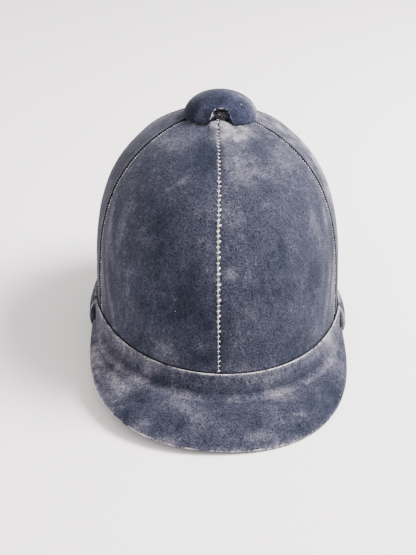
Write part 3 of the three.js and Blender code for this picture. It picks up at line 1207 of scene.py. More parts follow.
@dataclass
class SeamThreads:
    """The overcast chain of heavy thread up the centre front."""

    crown: Crown
    pitch: float = 3.3
    low: float = 1.5
    high: float = 130.0
    slant: float = math.radians(24)
    slant_sway: float = math.radians(17)
    bead: Triple = (1.6, 1.35, 2.7)
    bead_proud: float = 0.25
    bead_sway: float = 0.2
    link: Triple = (0.75, 0.7, 3.3)
    link_proud: float = -0.25
    link_aside: float = -0.3
    link_sway: float = 0.08
    foot_growth: Pair = (0.52, 0.92)
    foot_heights: Pair = (0.0, 48.0)
    top_growth: Pair = (1.0, 0.62)
    top_heights: Pair = (84.0, 124.0)
    thick: tuple[Triple, ...] = ((0.18, 102.0, 14.0), (0.4, 2.0, 9.0))
    growth_sway: float = 0.1

    def build(self, thread: Material, worn: Material) -> None:
        """Builds the chain: a slanted stitch over the seam, and a link to the next.

        Args:
            thread: Finish of the stitches.
            worn: Finish of the links between them.
        """
        crown = self.crown
        beads, links = bmesh.new(), bmesh.new()
        for count, z in enumerate(crown.seam_walk(0.0, self.low, self.high, self.pitch)):
            wave = sway(count, 4.1) + 0.6 * sway(count, 2.3)
            grown = self.growth(z, wave)
            slant = math.pi / 2 - self.slant - self.slant_sway * sway(count, 2.9)
            aside = self.bead_sway * wave
            frame = crown.seam_thread(crown.drift(z), z, slant, self.bead_proud, aside)
            add_stitch(beads, frame, Vector(self.bead) * grown)
            above = min(z + self.pitch / 2, self.high)
            slant = self.link_sway * wave
            turn = crown.drift(above)
            frame = crown.seam_thread(turn, above, slant, self.link_proud, self.link_aside)
            add_stitch(links, frame, Vector(self.link) * grown)
        finish_mesh(beads, "front_seam_thread", (thread,), "crown_velvet")
        finish_mesh(links, "front_seam_links", (worn,), "crown_velvet")

    def growth(self, z: float, wave: float) -> float:
        """How far a thread is scaled at a height, and by an uneven hand's wave."""
        foot = blend(*self.foot_growth, smooth(z, *self.foot_heights))
        top = blend(*self.top_growth, smooth(z, *self.top_heights))
        thick = sum(more * hump(z, middle, spread) for more, middle, spread in self.thick)
        return foot * top * (1 + thick + self.growth_sway * wave)


# ---- peak ----------------------------------------------------------------------------


@dataclass(frozen=True)
class Bend:
    """One point of the peak's upright section, how it is worn there and its painted shade."""

    out: float
    up: float
    edge: float = 0.0
    # Share of painted shade.
    gap: float = 0.0
    wear: float = 0.0
    relief: float = 0.0


@dataclass
class Peak:
    """The peak: a flange against the crown, a soft valley and a rolled outer edge."""

    seating: Seating
    end: float = math.radians(76)
    edge_half_width: float = 88.3
    edge_start: float = 22.0
    edge_reach: float = 128.0
    across_power: float = 2.24
    ahead_power: float = 3.0
    cant: float = 4.1
    end_drop: float = 12.3
    slope: float = 0.14
    thickness: float = 3.3
    bow: float = 1.6
    fit_gap: float = 0.12
    flange_proud: float = 2.18
    valley_drop: float = 11.0
    valley_round: float = 8.0
    valley_most: float = 0.45
    valley_steps: int = 10
    slope_steps: int = 24
    roll_steps: int = 12
    under_steps: int = 12
    back_steps: int = 4
    columns: int = 220
    bow_reach: float = 43.0
    short_reach: Pair = (6.0, 24.0)
    crest: tuple[Bend, ...] = (
        # The crest's back, in the cleft against the crown, is painted dark as painted shade.
        Bend(0.0, -1.7, gap=1.0),
        Bend(0.35, -0.8, gap=0.4),
        Bend(0.8, -0.15, edge=0.35),
        Bend(1.15, 0.05, edge=0.75),
        Bend(1.6, -0.1, edge=0.65, wear=0.14),
        Bend(1.95, -0.6, edge=0.2, wear=0.18),
        Bend(flange_proud, -1.4, wear=0.15),
        Bend(flange_proud, -2.4, wear=0.08),
    )
    back_drop: float = 1.5
    flange_wear: float = 0.08
    flange_wear_at: Pair = (0.0, 0.4)
    foot_wear: float = 0.16
    foot_ridge: Pair = (1.0, 0.25)
    # Painted shade in the valley under the flange, along its crease and, by slope_shade, low on
    # the slope before the rolled edge.
    valley_shade: float = 0.12
    valley_ridge: Pair = (0.5, 0.2)
    valley_painted_shade: float = 0.08
    crease_painted_shade: float = 0.3
    crease_ridge: Pair = (0.6, 0.08)
    slope_shade: float = 0.1
    slope_ridge: Pair = (1.0, 0.3)
    roll_ridge: Pair = (0.42, 0.24)
    roll_edge: float = 0.6
    roll_wear: float = 0.16
    ripples: tuple[Wave, ...] = (Wave(0.7, 26, 7), Wave(0.25, 8, 2))
    edge_share: float = 0.9
    edge_waves: tuple[Wave, ...] = (Wave(0.5, 5, 19), Wave(0.5, 19, 29))
    scuff_waves: tuple[Wave, ...] = (Wave(0.6, 8, 17), Wave(0.6, 3.5, 21))
    scuffs: tuple[PlanScuff, ...] = (
        PlanScuff(9, 10, 0.23, x=-25, y=-118),
        PlanScuff(9, 8, 0.2, x=-18, y=-130),
        PlanScuff(9, 6, 0.16, x=-43, y=-107),
        PlanScuff(12, 22, 0.23, x=-72, y=-95),
        PlanScuff(10, 5, 0.16, x=25, y=-141),
        PlanScuff(28, 4, 0.04, x=6, y=-115),
        PlanScuff(9, 12, 0.22, x=73, y=-63),
        PlanScuff(7, 6, 0.16, x=-52, y=-98),
        PlanScuff(12, 10, -0.3, x=-52, y=-116),
        PlanScuff(14, 8, -0.34, x=-34, y=-134),
        PlanScuff(18, 5, -0.14, x=12, y=-129),
        PlanScuff(12, 5, -0.1, x=32, y=-103),
        PlanScuff(18, 9, -0.2, x=54, y=-111),
        PlanScuff(8, 10, -0.25, x=73, y=-97),
        PlanScuff(6, 4, -0.2, x=-70, y=-79),
        PlanScuff(18, 4, -0.19, x=-14, y=-107),
        PlanScuff(28, 9, -0.12, x=2, y=-124),
        PlanScuff(6, 32, 0.38, x=-83, y=-72),
        PlanScuff(9, 13, 0.18, x=-61, y=-106),
        PlanScuff(6, 4, -0.26, x=-40, y=-104),
        PlanScuff(6, 4, 0.18, x=-50, y=-95),
        PlanScuff(8, 9, 0.18, x=-62, y=-76),
        PlanScuff(6, 3, 0.15, x=-30, y=-107),
        PlanScuff(26, 4, -0.22, x=0, y=-117),
        PlanScuff(12, 7, 0.3, x=38, y=-107),
        PlanScuff(9, 9, -0.13, x=-24, y=-132),
        PlanScuff(8, 6, 0.28, x=-48, y=-133),
        PlanScuff(9, 4, 0.26, x=-33, y=-143),
        PlanScuff(12, 4, -0.36, x=21, y=-135),
        PlanScuff(11, 8, -0.22, x=52, y=-131),
        PlanScuff(9, 4, -0.14, x=-8, y=-144),
        PlanScuff(9, 7, -0.3, x=-61, y=-128),
        PlanScuff(8, 4, 0.14, x=46, y=-112),
    )

    @property
    def face(self) -> float:
        """How far the flange's face stands out from the crown."""
        return self.fit_gap + self.flange_proud

    def forward(self, y: float) -> float:
        """How far a point lies in front of where the peak's edge starts."""
        return max(0.0, -y - self.edge_start)

    def reach(self, base: Vector, out: Vector) -> float:
        """Level distance from a point of the crown to the peak's outline in plan."""
        near, far = 0.0, self.edge_reach
        for _ in range(SEARCH_STEPS):
            middle = (near + far) / 2
            across = abs(base.x + out.x * middle) / self.edge_half_width
            ahead = self.forward(base.y + out.y * middle) / self.edge_reach
            if across**self.across_power + ahead**self.ahead_power < 1:
                near = middle
            else:
                far = middle
        return near

    def section(self, turn: float) -> tuple[list[Bend], float]:
        """The upright section at that turn: up the flange's back, over and down to the
        valley, out to the rolled edge and back underneath.

        Args:
            turn: Turn round the crown from its front.

        Returns:
            The section's points and its level reach.
        """
        form, top = self.seating.form, self.seating.join(turn)
        base, out = form.point(turn, 0), form.flat_normal(turn)
        reach = self.reach(base, out)
        rim_point = base + out * reach
        cant = self.cant * rim_point.x / form.half_width
        edge = -self.end_drop - self.slope * self.forward(rim_point.y) - cant
        half = self.thickness / 2
        corner = Vector((self.face, top - self.valley_drop))
        rim = Vector((reach - half, edge + half))
        run = rim - corner
        round_off = min(self.valley_round, run.length * self.valley_most)
        run.normalize()
        square = Vector((-run.y, run.x))
        bow = square * (self.bow * reach / self.bow_reach)
        short = smooth(reach, *self.short_reach)

        crest = [
            replace(bend, out=self.fit_gap + bend.out, up=top + bend.up) for bend in self.crest
        ]
        start = Vector((self.face, corner.y + round_off))
        finish = corner + run * round_off
        valley = self._valley(start, corner, finish, short)
        slope = self._slope(finish, rim + square * half, bow, short)
        rolled = self._roll(rim, run * half, square * half)
        roll_end = rim - square * half
        under_run = corner - square * self.thickness - roll_end
        under_end = roll_end + under_run * ((self.fit_gap - roll_end.x) / under_run.x)
        under = []
        for step in range(1, self.under_steps):
            way = step / self.under_steps
            middle = roll_end.lerp(under_end, way) + bow * bulge(way)
            under.append(Bend(middle.x, middle.y))
        back = []
        for step in range(self.back_steps):
            up = blend(under_end.y, top - self.back_drop, step / self.back_steps)
            back.append(Bend(self.fit_gap, up))
        outline = [*back, *crest, *valley, *slope, *rolled, *under]
        return [*outline, outline[0]], reach

    def _valley(self, start: Vector, corner: Vector, finish: Vector, short: float) -> list[Bend]:
        """The rounded valley between flange and slope.

        Args:
            start: Where it leaves the flange.
            corner: Where flange and slope would meet.
            finish: Where it joins the slope.
            short: From 1 down to 0 where the peak is too short to be worn.

        Returns:
            Its points.
        """
        bends = []
        for step in range(self.valley_steps + 1):
            way = step / self.valley_steps
            middle = start.lerp(corner, way).lerp(corner.lerp(finish, way), way)
            # Painted shade deepest in the valley's middle and along its crease.
            dark = hump(way, *self.valley_ridge)
            wear = self.flange_wear * (1 - smooth(way, *self.flange_wear_at))
            wear += self.foot_wear * hump(way, *self.foot_ridge) - self.valley_shade * dark
            gap = self.valley_painted_shade * dark + self.crease_painted_shade * hump(way, *self.crease_ridge) * short
            bends.append(Bend(middle.x, middle.y, gap=gap, wear=wear * short))
        return bends

    def _slope(self, start: Vector, end: Vector, bow: Vector, short: float) -> list[Bend]:
        """The top face from the valley to the rolled edge.

        Args:
            start: Where it starts.
            end: Where it ends.
            bow: How far its middle is bowed up.
            short: From 1 down to 0 where the peak is too short to ripple.

        Returns:
            Its points, without both ends.
        """
        bends = []
        for step in range(1, self.slope_steps):
            way = step / self.slope_steps
            middle = start.lerp(end, way) + bow * bulge(way)
            wear = -self.slope_shade * hump(way, *self.slope_ridge)
            bends.append(Bend(middle.x, middle.y, wear=wear, relief=short * bulge(way)))
        return bends

    def _roll(self, middle: Vector, ahead: Vector, above: Vector) -> list[Bend]:
        """The half round of the rolled edge.

        Args:
            middle: Its middle.
            ahead: From there to its foremost point.
            above: From there to its top.

        Returns:
            Its points.
        """
        bends = []
        for step in range(self.roll_steps + 1):
            way = step / self.roll_steps
            angle = math.pi * way
            place = middle + above * math.cos(angle) + ahead * math.sin(angle)
            pale = hump(way, *self.roll_ridge)
            edge, wear = self.roll_edge * pale, self.roll_wear * pale
            bends.append(Bend(place.x, place.y, edge=edge, wear=wear))
        return bends

    def build(self, velvet: Material) -> None:
        """Builds the peak."""
        form, lay = self.seating.form, self.seating.lay
        section = functools.cache(self.section)
        rows = len(self.section(0.0)[0]) - 1

        def spot_at(u: float, v: float) -> Spot:
            """A spot of the peak's skin."""
            turn = blend(-self.end, self.end, u)
            outline, reach = section(turn)
            bend = outline[round(v * rows)]
            base, out = form.point(turn, 0), form.flat_normal(turn)
            far = (bend.out - self.face) / (reach - self.face)
            lean = form.lean * bend.up / form.height * (1 - min(1.0, max(0.0, far)))
            x, y = base.x + out.x * bend.out, base.y + out.y * bend.out + lean
            place = Vector((x, y, bend.up))
            place.z += bend.relief * uneven(place, *self.ripples)
            edge = bend.edge * (self.edge_share + uneven(place, *self.edge_waves))
            rubbed = sum(scuff.weight(place) for scuff in self.scuffs)
            wear = bend.wear + rubbed * (1 + uneven(place, *self.scuff_waves))
            return Spot(lay(place), wear, edge, bend.gap, turn * form.half_length, bend.out)

        mesh = skin_mesh(self.columns, rows, spot_at)
        close_tube(mesh)
        finish_mesh(mesh, "peak_velvet", (velvet,), "peak_velvet", ("peak",))


# ---- rim band ------------------------------------------------------------------------


@dataclass
class RimBand:
    """The folded velvet band round the rim, from one end of the peak to the other."""

    seating: Seating
    start: float = math.radians(77.6)
    slant: float = math.radians(1.6)
    slant_part: float = 1 / 6
    binding: float = 1.6
    wall: float = 3.0
    fit_gap: float = 0.3
    columns: int = 260
    crowding: float = 0.8
    fold_line: float = 0.5
    fold_ridge: Pair = (1.0, 0.06)
    outer_from: float = 1.0
    pucker: Wave = Wave(0.35, 9, 4)
    pucker_shares: Pair = (0.02, 0.98)
    pucker_drift: float = 5.0
    piping: float = 0.75
    piping_ridge: Pair = (2.2, 1.0)
    edge_share: float = 0.85
    edge_wave: Wave = Wave(0.5, 5, 23)
    wear_waves: tuple[Wave, ...] = (Wave(0.3, 7, 51), Wave(0.15, 3.5, 53))
    tip_at: Pair = (0.3, 1.2)
    # Painted light on the band's shaded end face, and painted shade on its part near the crown.
    tip_painted_light: float = 0.5
    tip_shade_at: Pair = (0.6, 2.0)
    right_shade: float = 0.4
    right_spread: float = 0.3
    face: tuple[Pair, ...] = (
        (0.8, 1.0),
        (1.9, 0.97),
        (3.5, 0.87),
        (5.0, 0.7),
        (6.0, 0.5),
        (6.2, 0.32),
        (5.6, 0.14),
        (4.4, 0.03),
        (3.6, 0.0),
    )

    def outline(self) -> list[tuple[float, float, float, float]]:
        """The closed section: how proud, what share of the height, lift and paleness."""
        steps = [
            (-self.wall, 0.0, 0.0, 0.0),
            (-self.wall, 0.0, self.binding, 0.0),
            (self.fit_gap, 0.0, self.binding, 0.0),
            (self.fit_gap, 0.35, 0.0, 0.0),
            (self.fit_gap, 0.7, 0.0, 0.0),
            (self.fit_gap, 0.97, 0.0, 0.0),
        ]
        for (proud, share), (next_proud, next_share) in zip(self.face, self.face[1:]):
            pale = self.fold_line * hump(share, *self.fold_ridge)
            for part in (0.0, 0.5):
                out, up = blend(proud, next_proud, part), blend(share, next_share, part)
                steps.append((out, up, 0.0, pale))
        steps.append((*self.face[-1], 0.0, 0.0))
        return [*steps, steps[0]]

    def build(self, velvet: Material) -> None:
        """Builds the band."""
        form, lay = self.seating.form, self.seating.lay
        outline = self.outline()
        rows = len(outline) - 1

        def spot_at(u: float, v: float) -> Spot:
            """A spot of the band's skin."""
            way = 2 * crowded(u, self.crowding) - 1
            turn = math.pi + way * (math.pi - self.start)
            signed = turn - math.tau if turn > math.pi else turn
            endness = max(0.0, 1 - (1 - abs(way)) / self.slant_part)
            lean = -math.copysign(self.slant * endness, signed)
            proud, share, lift, pale = outline[round(v * rows)]
            at = signed + lean * (share - 0.5)
            foot = self.seating.level(at, self.seating.rise(at), proud)
            z = blend(foot, self.seating.band_edge(at), share) + lift
            along, out = at * form.half_length, form.flat_normal(at)
            place = form.point(at, z) + out * proud
            outer = proud > self.outer_from
            lowest, highest = self.pucker_shares
            if outer and lowest < share < highest:
                place += out * uneven(Vector((along, 0, share * self.pucker_drift)), self.pucker)
            tip = (1 - abs(way)) * (math.pi - self.start) * form.half_length
            piping = self.piping * hump(tip, *self.piping_ridge) if outer else 0.0
            edge = max(pale, piping) * (self.edge_share + uneven(place, self.edge_wave))
            # Painted shade where the band's end meets the crown, and painted light on the rest of
            # its end face.
            near_tip = 1 - smooth(tip, *self.tip_at)
            dark = near_tip * (1 - smooth(proud, *self.tip_shade_at))
            wear = uneven(place, *self.wear_waves) + self.tip_painted_light * near_tip
            wear -= self.right_shade * hump(at, -self.start, self.right_spread)
            return Spot(lay(place), wear, edge, dark, along, z)

        mesh = skin_mesh(self.columns, rows, spot_at)
        close_tube(mesh)
        finish_mesh(mesh, "rim_band_velvet", (velvet,), "band_velvet", ("rim_band",))


# ---- top button ----------------------------------------------------------------------


@dataclass(frozen=True)
class Pleat:
    """The pleat at the wearer's right of the button, that runs up and back from its foot."""

    turns: Pair = (94.0, 140.0)
    turn_at: Pair = (0.0, 0.7)
    radius: float = 25.0
    lift_at: Pair = (0.75, 1.0)
    bare: float = 0.4
    bare_ridge: Pair = (0.6, 0.6)
    # Painted shade deep in the fold.
    dark: float = 0.9
    fold_shade_ridge: Pair = (-0.9, 0.9)

    def marks(self, angle: float, lift: float) -> Pair:
        """How bare and how deep in the fold the velvet is.

        Args:
            angle: Turn from the front, in radians.
            lift: Turn down from the crest.

        Returns:
            The shares of bareness and of painted shade in the fold.
        """
        turn = blend(*self.turns, smooth(math.pi / 2 - lift, *self.turn_at))
        away = (angle + math.radians(turn)) * self.radius * math.sin(lift)
        here = smooth(lift, *self.lift_at)
        bare = self.bare * here * hump(away, *self.bare_ridge)
        return bare, self.dark * here * hump(away, *self.fold_shade_ridge)


@dataclass(frozen=True)
class Fraying:
    """The notch's frayed edge: barest towards the wearer's right and over the crest."""

    depth: float = 0.8
    ridge: Pair = (0.9, 1.1)
    aside_at: Pair = (8.8, 10.4)
    front_at: Pair = (0.0, 0.5)
    right_at: Pair = (-1.0, 3.0)
    left_at: Pair = (2.5, 4.5)
    left_foot_at: Pair = (1.0, 1.3)
    left_share: float = 0.4
    least: float = 0.35
    tufts: float = 0.8
    tuft_wave: Wave = Wave(1.4, 3, 31)

    def weight(self, x: float, angle: float, hem: float, to_hem: float) -> float:
        """How bare the velvet is at a point of the button.

        Args:
            x: Millimetres from the button's middle, towards the wearer's left.
            angle: Turn from the front.
            hem: Lift at which the dome ends there.
            to_hem: Millimetres to that end.

        Returns:
            0 for sound velvet, up to 1 for bare.
        """
        right = smooth(-x, *self.right_at)
        left = smooth(x, *self.left_at) * smooth(hem, *self.left_foot_at)
        bare = blend(self.least, 1.0, max(right, self.left_share * left))
        by_notch = 1 - smooth(abs(x), *self.aside_at)
        at_front = smooth(math.cos(angle), *self.front_at)
        return self.depth * hump(to_hem, *self.ridge) * by_notch * at_front * bare


@dataclass
class TopButton:
    """The velvet dome on the crown's top, cut open at its front in a low arch."""

    seating: Seating
    pleat: Pleat = Pleat()
    fraying: Fraying = Fraying()
    x: float = 2.6
    y: float = 20.5
    radius: float = 25.8
    height: float = 17.0
    fit_gap: float = 0.3
    notch_half: float = 9.5
    notch_part: float = 0.36
    notch_height: float = 10.0
    bell_right: float = 10.4
    bell_left: float = 9.5
    bell_powers: Pair = (4.4, 4.2)
    wall: float = 2.4
    core_depth: float = 20.0
    columns: int = 216
    rows: int = 40
    in_notch_at: Pair = (0.02, 0.12)
    hem_roll: float = 0.5
    hem_ridge: Pair = (1.6, 1.6)
    hem_tuck: float = 0.8
    hem_tuck_at: Pair = (0.0, 1.4)
    # Painted shade under the hem, outside the notch.
    hem_painted_shade: float = 0.75
    hem_painted_shade_at: Pair = (0.0, 1.2)
    relief: Wave = Wave(0.25, 14, 9)
    relief_at: Pair = (0.0, 5.0)
    # Pile rubbed pale and a painted highlight round the lit side of the dome, at the wearer's
    # left.
    side_wear_and_highlight: float = 0.8
    side_lift_at: Pair = (0.6, 1.5)
    side_at: Pair = (0.88, 0.99)
    side_wave: Wave = Wave(0.8, 5, 3)
    wear_waves: tuple[Wave, ...] = (Wave(0.22, 8, 37), Wave(0.12, 4, 43))
    scuffs: tuple[PlanScuff, ...] = (
        PlanScuff(10, 6, 0.42, lean=-20, x=15, y=18),
        PlanScuff(6, 4, 0.2, x=-8, y=6),
        PlanScuff(4, 3, 0.25, x=-12, y=1),
        PlanScuff(5, 6, 0.2, x=22, y=9),
        PlanScuff(7, 6, -0.35, x=-15, y=9),
        PlanScuff(9, 5, -0.28, x=2, y=6),
        PlanScuff(6, 5, -0.3, x=-19, y=3),
    )

    def plan(self, distance: float, angle: float) -> Pair:
        """The place in plan at a distance and a turn from the button's middle."""
        return self.x + distance * math.sin(angle), self.y - distance * math.cos(angle)

    def seat(self, distance: float, angle: float) -> float:
        """Height of the crown under a point of the button."""
        return self.seating.form.height_over(*self.plan(distance, angle)) + self.fit_gap

    def crest(self) -> float:
        """Height of the button's top."""
        return self.seat(self.radius, 0.0) + self.height

    def dome(self, angle: float, lift: float) -> Vector:
        """A point of the dome: lift 0 is its crest and a quarter turn its foot."""
        rim = self.seat(self.radius, angle)
        z = blend(rim, self.crest(), math.cos(lift))
        return Vector((*self.plan(self.radius * math.sin(lift), angle), z))

    def arch(self, x: float) -> float:
        """Height of the notch's bell-shaped arch at a distance from the button's middle."""
        side = min(1.0, abs(x) / (self.bell_left if x > 0 else self.bell_right))
        inner, outer = self.bell_powers
        return self.notch_height * (1 - side**inner) ** outer

    def hem_lift(self, angle: float) -> float:
        """Lift at which the dome ends: its foot, or the notch's arch at the front."""
        if math.cos(angle) <= 0:
            return math.pi / 2
        lift = math.pi / 2
        for _ in range(SEARCH_STEPS):
            x = self.radius * math.sin(lift) * math.sin(angle)
            rim = self.seat(self.radius, angle)
            share = min(1.0, self.arch(x) / (self.crest() - rim))
            lift = blend(lift, math.acos(share), 0.5)
        return lift

    def angle(self, u: float) -> float:
        """Turn from the front for a share of the way round, crowded over the notch."""
        edge = math.asin(self.notch_half / self.radius)
        side = 2 * u - 1
        part = self.notch_part
        if abs(side) < part:
            return math.asin(math.sin(side / part * math.pi / 2) * math.sin(edge))
        way = (abs(side) - part) / (1 - part)
        return math.copysign(blend(edge, math.pi, way), side)

    def build(self, velvet: Material) -> None:
        """Builds the dome."""
        hem_lift = functools.cache(self.hem_lift)
        core = Vector((self.x, self.y, self.crest() - self.height))

        def spot_at(u: float, v: float) -> Spot:
            """A spot of the dome's skin, from its crest to its hem."""
            angle = self.angle(u)
            hem = hem_lift(angle)
            lift = max(NEAR_CREST, v) * hem
            place = self.dome(angle, lift)
            out = (place - core).normalized()
            to_hem = (hem - lift) * self.radius
            in_notch = smooth(math.pi / 2 - hem, *self.in_notch_at)
            roll = self.hem_roll * hump(to_hem, *self.hem_ridge) * in_notch
            tuck = self.hem_tuck * (1 - smooth(to_hem, *self.hem_tuck_at)) * (1 - in_notch)
            relief = uneven(place, self.relief) * smooth(to_hem, *self.relief_at)
            place += out * (roll - tuck + relief)

            frayed = self.fraying.weight(place.x - self.x, angle, hem, to_hem)
            frayed *= self.fraying.tufts + uneven(place, self.fraying.tuft_wave)
            # Painted shade under the hem and in the pleat's fold.
            dark = self.hem_painted_shade * (1 - smooth(to_hem, *self.hem_painted_shade_at)) * (1 - in_notch)
            pleat_bare, pleat_shade = self.pleat.marks(angle, lift)
            # Wear and painted highlight on the lit side.
            lit_side = smooth(lift, *self.side_lift_at) * smooth(math.sin(angle), *self.side_at)
            wear = self.side_wear_and_highlight * lit_side * (1 + uneven(place, self.side_wave))
            wear += uneven(place, *self.wear_waves)
            wear += sum(scuff.weight(place) for scuff in self.scuffs)
            edge, gap = max(frayed, pleat_bare), max(dark, pleat_shade)
            return Spot(self.seating.lay(place), wear, edge, gap, angle * self.radius, to_hem)

        mesh = skin_mesh(self.columns, self.rows, spot_at)
        bmesh.ops.remove_doubles(mesh, verts=mesh.verts[:], dist=CREST_WELD)
        inside = Vector((self.x, self.y, self.crest() - self.core_depth))
        face_outwards(mesh, self.seating.lay(inside))
        piece = finish_mesh(mesh, "top_button_velvet", (velvet,), "button_velvet", ("top_button",))
        add_wall(piece, self.wall)


@dataclass
class HemStitches:
    """The small stitches that hold the button's hem to the crown."""

    button: TopButton
    pitch: float = 3.3
    size: Triple = (0.5, 0.5, 1.3)
    size_sway: float = 0.15
    turn_sway: float = 0.03
    notch_margin: float = 1.0
    lift: float = math.radians(87)
    sunk: float = 0.5
    upturn: float = 0.35
    slant: float = 0.25

    def build(self, thread: Material) -> None:
        """Builds the stitches round the hem, but for the notch."""
        button = self.button
        bare_half = button.notch_half + self.notch_margin
        mesh = bmesh.new()
        total = round(math.tau * button.radius / self.pitch)
        for count in range(total):
            angle = math.tau * count / total + self.turn_sway * sway(count, 5.3)
            across, ahead = math.sin(angle), math.cos(angle)
            if ahead > 0 and abs(button.radius * across) < bare_half:
                continue
            out = Vector((across, -ahead, self.upturn)).normalized()
            down = Vector((self.slant * ahead, self.slant * across, -1))
            place = button.dome(angle, self.lift) - out * self.sunk
            size = Vector(self.size) * (1 + self.size_sway * sway(count, 3.1))
            frame = button.seating.thread_frame(place, down, out)
            add_stitch(mesh, frame, size, segments=6)
        finish_mesh(mesh, "button_hem_stitches", (thread,), "button_velvet")


@dataclass
class VentTuck:
    """The crumpled end of velvet tucked into the vent under the button, painted dark low down and
    in its creases as painted shade, and paler on its lit upper folds as painted light.
    """

    button: TopButton
    radius: float = 22.5
    undercut: float = 3.6
    undercut_at: Pair = (0.62, 0.85)
    height: float = 13.4
    sunk: float = 0.6
    wall: float = 0.6
    core_depth: float = 10.0
    upturn: float = 0.6
    squeeze: float = 1.6
    fold: Wave = Wave(1.0, 3.4, 6)
    fold_depth: float = 1.1
    crease: Wave = Wave(1.0, 2.6, 14)
    crease_depth: float = 1.3
    crease_middle: float = 0.9
    # Painted shade in the creases.
    crease_shade: float = 0.95
    crease_ridge: Pair = (0.0, 0.09)
    # Painted light: a paler band of folds where light reaches into the vent, the whole tuck lifted
    # paler than its shade leaves it, raised folds paler and sunk ones darker, and pale strokes on
    # the lit folds.
    lit_ridge: Pair = (4.4, 1.9)
    lit_highlight: float = 1.1
    wear: float = 0.55
    fold_light_and_shade: float = 1.5
    pale: float = 0.85
    pale_at: Pair = (-0.2, 0.3)
    left_at: Pair = (1.5, 4.5)
    shade: Pair = (0.33, 1.0)
    columns: int = 120
    rows: int = 36

    def build(self, velvet: Material) -> None:
        """Builds the tuck."""
        button = self.button

        def spot_at(u: float, v: float) -> Spot:
            """A spot of the tuck's skin."""
            angle = math.tau * u
            lift = max(NEAR_CREST, v) * math.pi / 2
            cut = self.undercut * smooth(v, *self.undercut_at)
            distance = self.radius * math.sin(lift) - cut
            x, y = button.plan(distance, angle)
            rise = self.height * math.cos(lift)
            place = Vector((x, y, button.seat(distance, angle) - self.sunk + rise))
            squeezed = Vector((place.x * self.squeeze, place.y, place.z))
            fold, crease = uneven(squeezed, self.fold), abs(uneven(squeezed, self.crease))
            out = Vector((math.sin(angle), -math.cos(angle), self.upturn))
            depth = self.fold_depth * fold + self.crease_depth * crease - self.crease_middle
            place += out * depth
            # Painted light on the lit upper folds, and painted shade below them, in the creases
            # and towards the wearer's left.
            lit = hump(rise, *self.lit_ridge)
            left = smooth(x - button.x, *self.left_at)
            gap = self.crease_shade * hump(crease, *self.crease_ridge)
            gap = min(1.0, gap + (1 - lit) * blend(*self.shade, left))
            wear = self.wear + self.lit_highlight * lit + self.fold_light_and_shade * fold
            pale = self.pale * lit * smooth(fold, *self.pale_at)
            return Spot(button.seating.lay(place), wear, pale, gap)

        mesh = skin_mesh(self.columns, self.rows, spot_at)
        bmesh.ops.remove_doubles(mesh, verts=mesh.verts[:], dist=CREST_WELD)
        inside = button.seating.lay(Vector((button.x, button.y, 0)))
        inside.z = min(vertex.co.z for vertex in mesh.verts) - self.core_depth * MM
        face_outwards(mesh, inside)
        piece = finish_mesh(mesh, "vent_tuck", (velvet,), "button_velvet")
        add_wall(piece, self.wall)


# ---- studio --------------------------------------------------------------------------


@dataclass(frozen=True)
class AreaLight:
    """A soft square light that points at the cap."""

    name: str
    place: Triple
    size: float
    power: float
    colour: str = "#ffffff"

    def build(self, aim: Vector) -> None:
        """Hangs the light and turns it to its aim."""
        data = bpy.data.lights.new(self.name, "AREA")
        data.shape = "SQUARE"
        data.size = self.size
        data.energy = self.power
        data.color = linear(self.colour)[:3]
        light = bpy.data.objects.new(self.name, data)
        light.location = self.place
        light.rotation_euler = (aim - Vector(self.place)).to_track_quat("-Z", "Y").to_euler()
        bpy.context.scene.collection.objects.link(light)


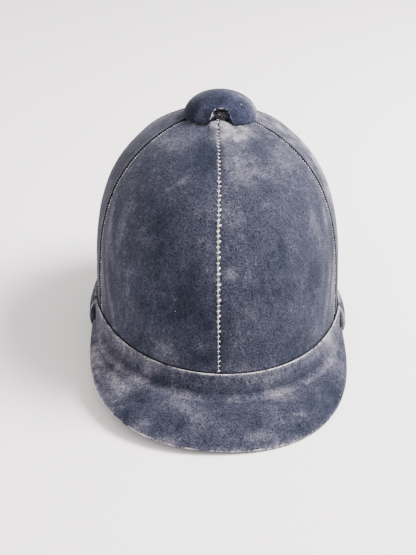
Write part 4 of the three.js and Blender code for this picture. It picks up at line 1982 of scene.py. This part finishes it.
@dataclass
class Studio:
    """A pale floor, soft light from the camera's upper right, and the camera."""

    floor_size: float = 8.0
    floor_drop: float = 0.2
    floor_colour: str = "#fffdfb"
    world_colour: str = "#fffafa"
    world_strength: float = 1.25
    camera_place: Triple = (-0.0109, -0.6119, 0.3894)
    camera_aim: Triple = (-0.0068, 0.0, 0.0485)
    camera_roll: float = math.radians(-0.244)
    lens: float = 65.0
    sensor: float = 36.0
    light_aim: Triple = (0.0, 0.0, 0.07)
    lights: tuple[AreaLight, ...] = (
        AreaLight("key", (1.15, 0.1, 1.2), 0.8, 115.0, "#fffaf9"),
        AreaLight("fill", (-1.3, -1.2, 1.2), 1.4, 6.0, "#fff2e6"),
    )

    def build(self) -> None:
        """Builds floor, light and camera."""
        self._floor()
        self._world()
        for light in self.lights:
            light.build(Vector(self.light_aim))
        self._camera()
        log.info("studio: floor, %d lights and camera", len(self.lights))

    def _floor(self) -> None:
        """A plain pale floor of painted board."""
        mesh = bmesh.new()
        bmesh.ops.create_grid(mesh, x_segments=4, y_segments=4, size=self.floor_size / 2)
        drop = Vector((0, 0, -self.floor_drop * MM))
        bmesh.ops.translate(mesh, verts=mesh.verts[:], vec=drop)
        material, tree, _ = new_material("painted_board")
        shader = add_node(
            tree,
            "ShaderNodeBsdfPrincipled",
            Base_Color=linear(self.floor_colour),
            Roughness=0.85,
            Specular_IOR_Level=0.2,
        )
        add_node(tree, "ShaderNodeOutputMaterial", Surface=shader.outputs[0])
        floor = new_object(mesh, "floor", (material,))

    def _world(self) -> None:
        """Even pale light from all round."""
        world = bpy.data.worlds.new("studio")
        world.use_nodes = True
        world.node_tree.nodes.clear()
        light = add_node(
            world.node_tree,
            "ShaderNodeBackground",
            Color=linear(self.world_colour),
            Strength=self.world_strength,
        )
        add_node(world.node_tree, "ShaderNodeOutputWorld", Surface=light.outputs[0])
        bpy.context.scene.world = world

    def _camera(self) -> None:
        """The camera, level but for a slight roll."""
        place, aim = Vector(self.camera_place), Vector(self.camera_aim)
        forward = (aim - place).normalized()
        level = forward.cross(Vector((0, 0, 1))).normalized()
        rise = level.cross(forward)
        cosine, sine = math.cos(self.camera_roll), math.sin(self.camera_roll)
        right = level * cosine + rise * sine
        up = rise * cosine - level * sine
        data = bpy.data.cameras.new("camera")
        data.lens = self.lens
        data.sensor_width = self.sensor
        camera = bpy.data.objects.new("camera", data)
        turned = Matrix((right, up, -forward)).transposed().to_4x4()
        camera.matrix_world = Matrix.Translation(place) @ turned
        bpy.context.scene.collection.objects.link(camera)
        bpy.context.scene.camera = camera


def main() -> None:
    """Loads the frame and builds the cap and its studio."""
    logging.basicConfig(level=logging.INFO, format="%(message)s")
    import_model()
    seating = Seating()
    crown_velvet = CottonVelvet("cotton_velvet_crown").make()
    peak_velvet = CottonVelvet(
        "cotton_velvet_peak",
        shift=(0.3, 0.1, 0.2),
        tone=0.485,
        patch=Mottle(34.0, 0.4, 4.0, 0.6),
        blotch=Mottle(9.0, 0.45, 4.0, 0.3),
        streak=Mottle(4.0, 0.42, 3.0, 0.4),
    ).make()
    band_velvet = CottonVelvet("cotton_velvet_band", shift=(0.7, 0.4, 0.1), tone=0.37).make()
    button_velvet = CottonVelvet(
        "cotton_velvet_button",
        deep="#181c29",
        middle="#242838",
        faded="#3a3c4c",
        rubbed="#67666f",
        shift=(0.2, 0.6, 0.5),
    ).make()
    thread = CottonThread("cotton_thread").make()
    lap_thread = CottonThread("cotton_lap_thread", clean="#b3b0b8", grubby="#6a6a76").make()
    lining = ShellLining().make()

    crown = Crown(seating)
    crown.build(crown_velvet, lining)
    SeamThreads(crown).build(thread, lap_thread)
    LapStitches(crown).build(lap_thread)
    Peak(seating).build(peak_velvet)
    RimBand(seating).build(band_velvet)
    button = TopButton(seating)
    button.build(button_velvet)
    HemStitches(button).build(lap_thread)
    VentTuck(button).build(button_velvet)
    Studio().build()


if __name__ == "__main__":
    main()
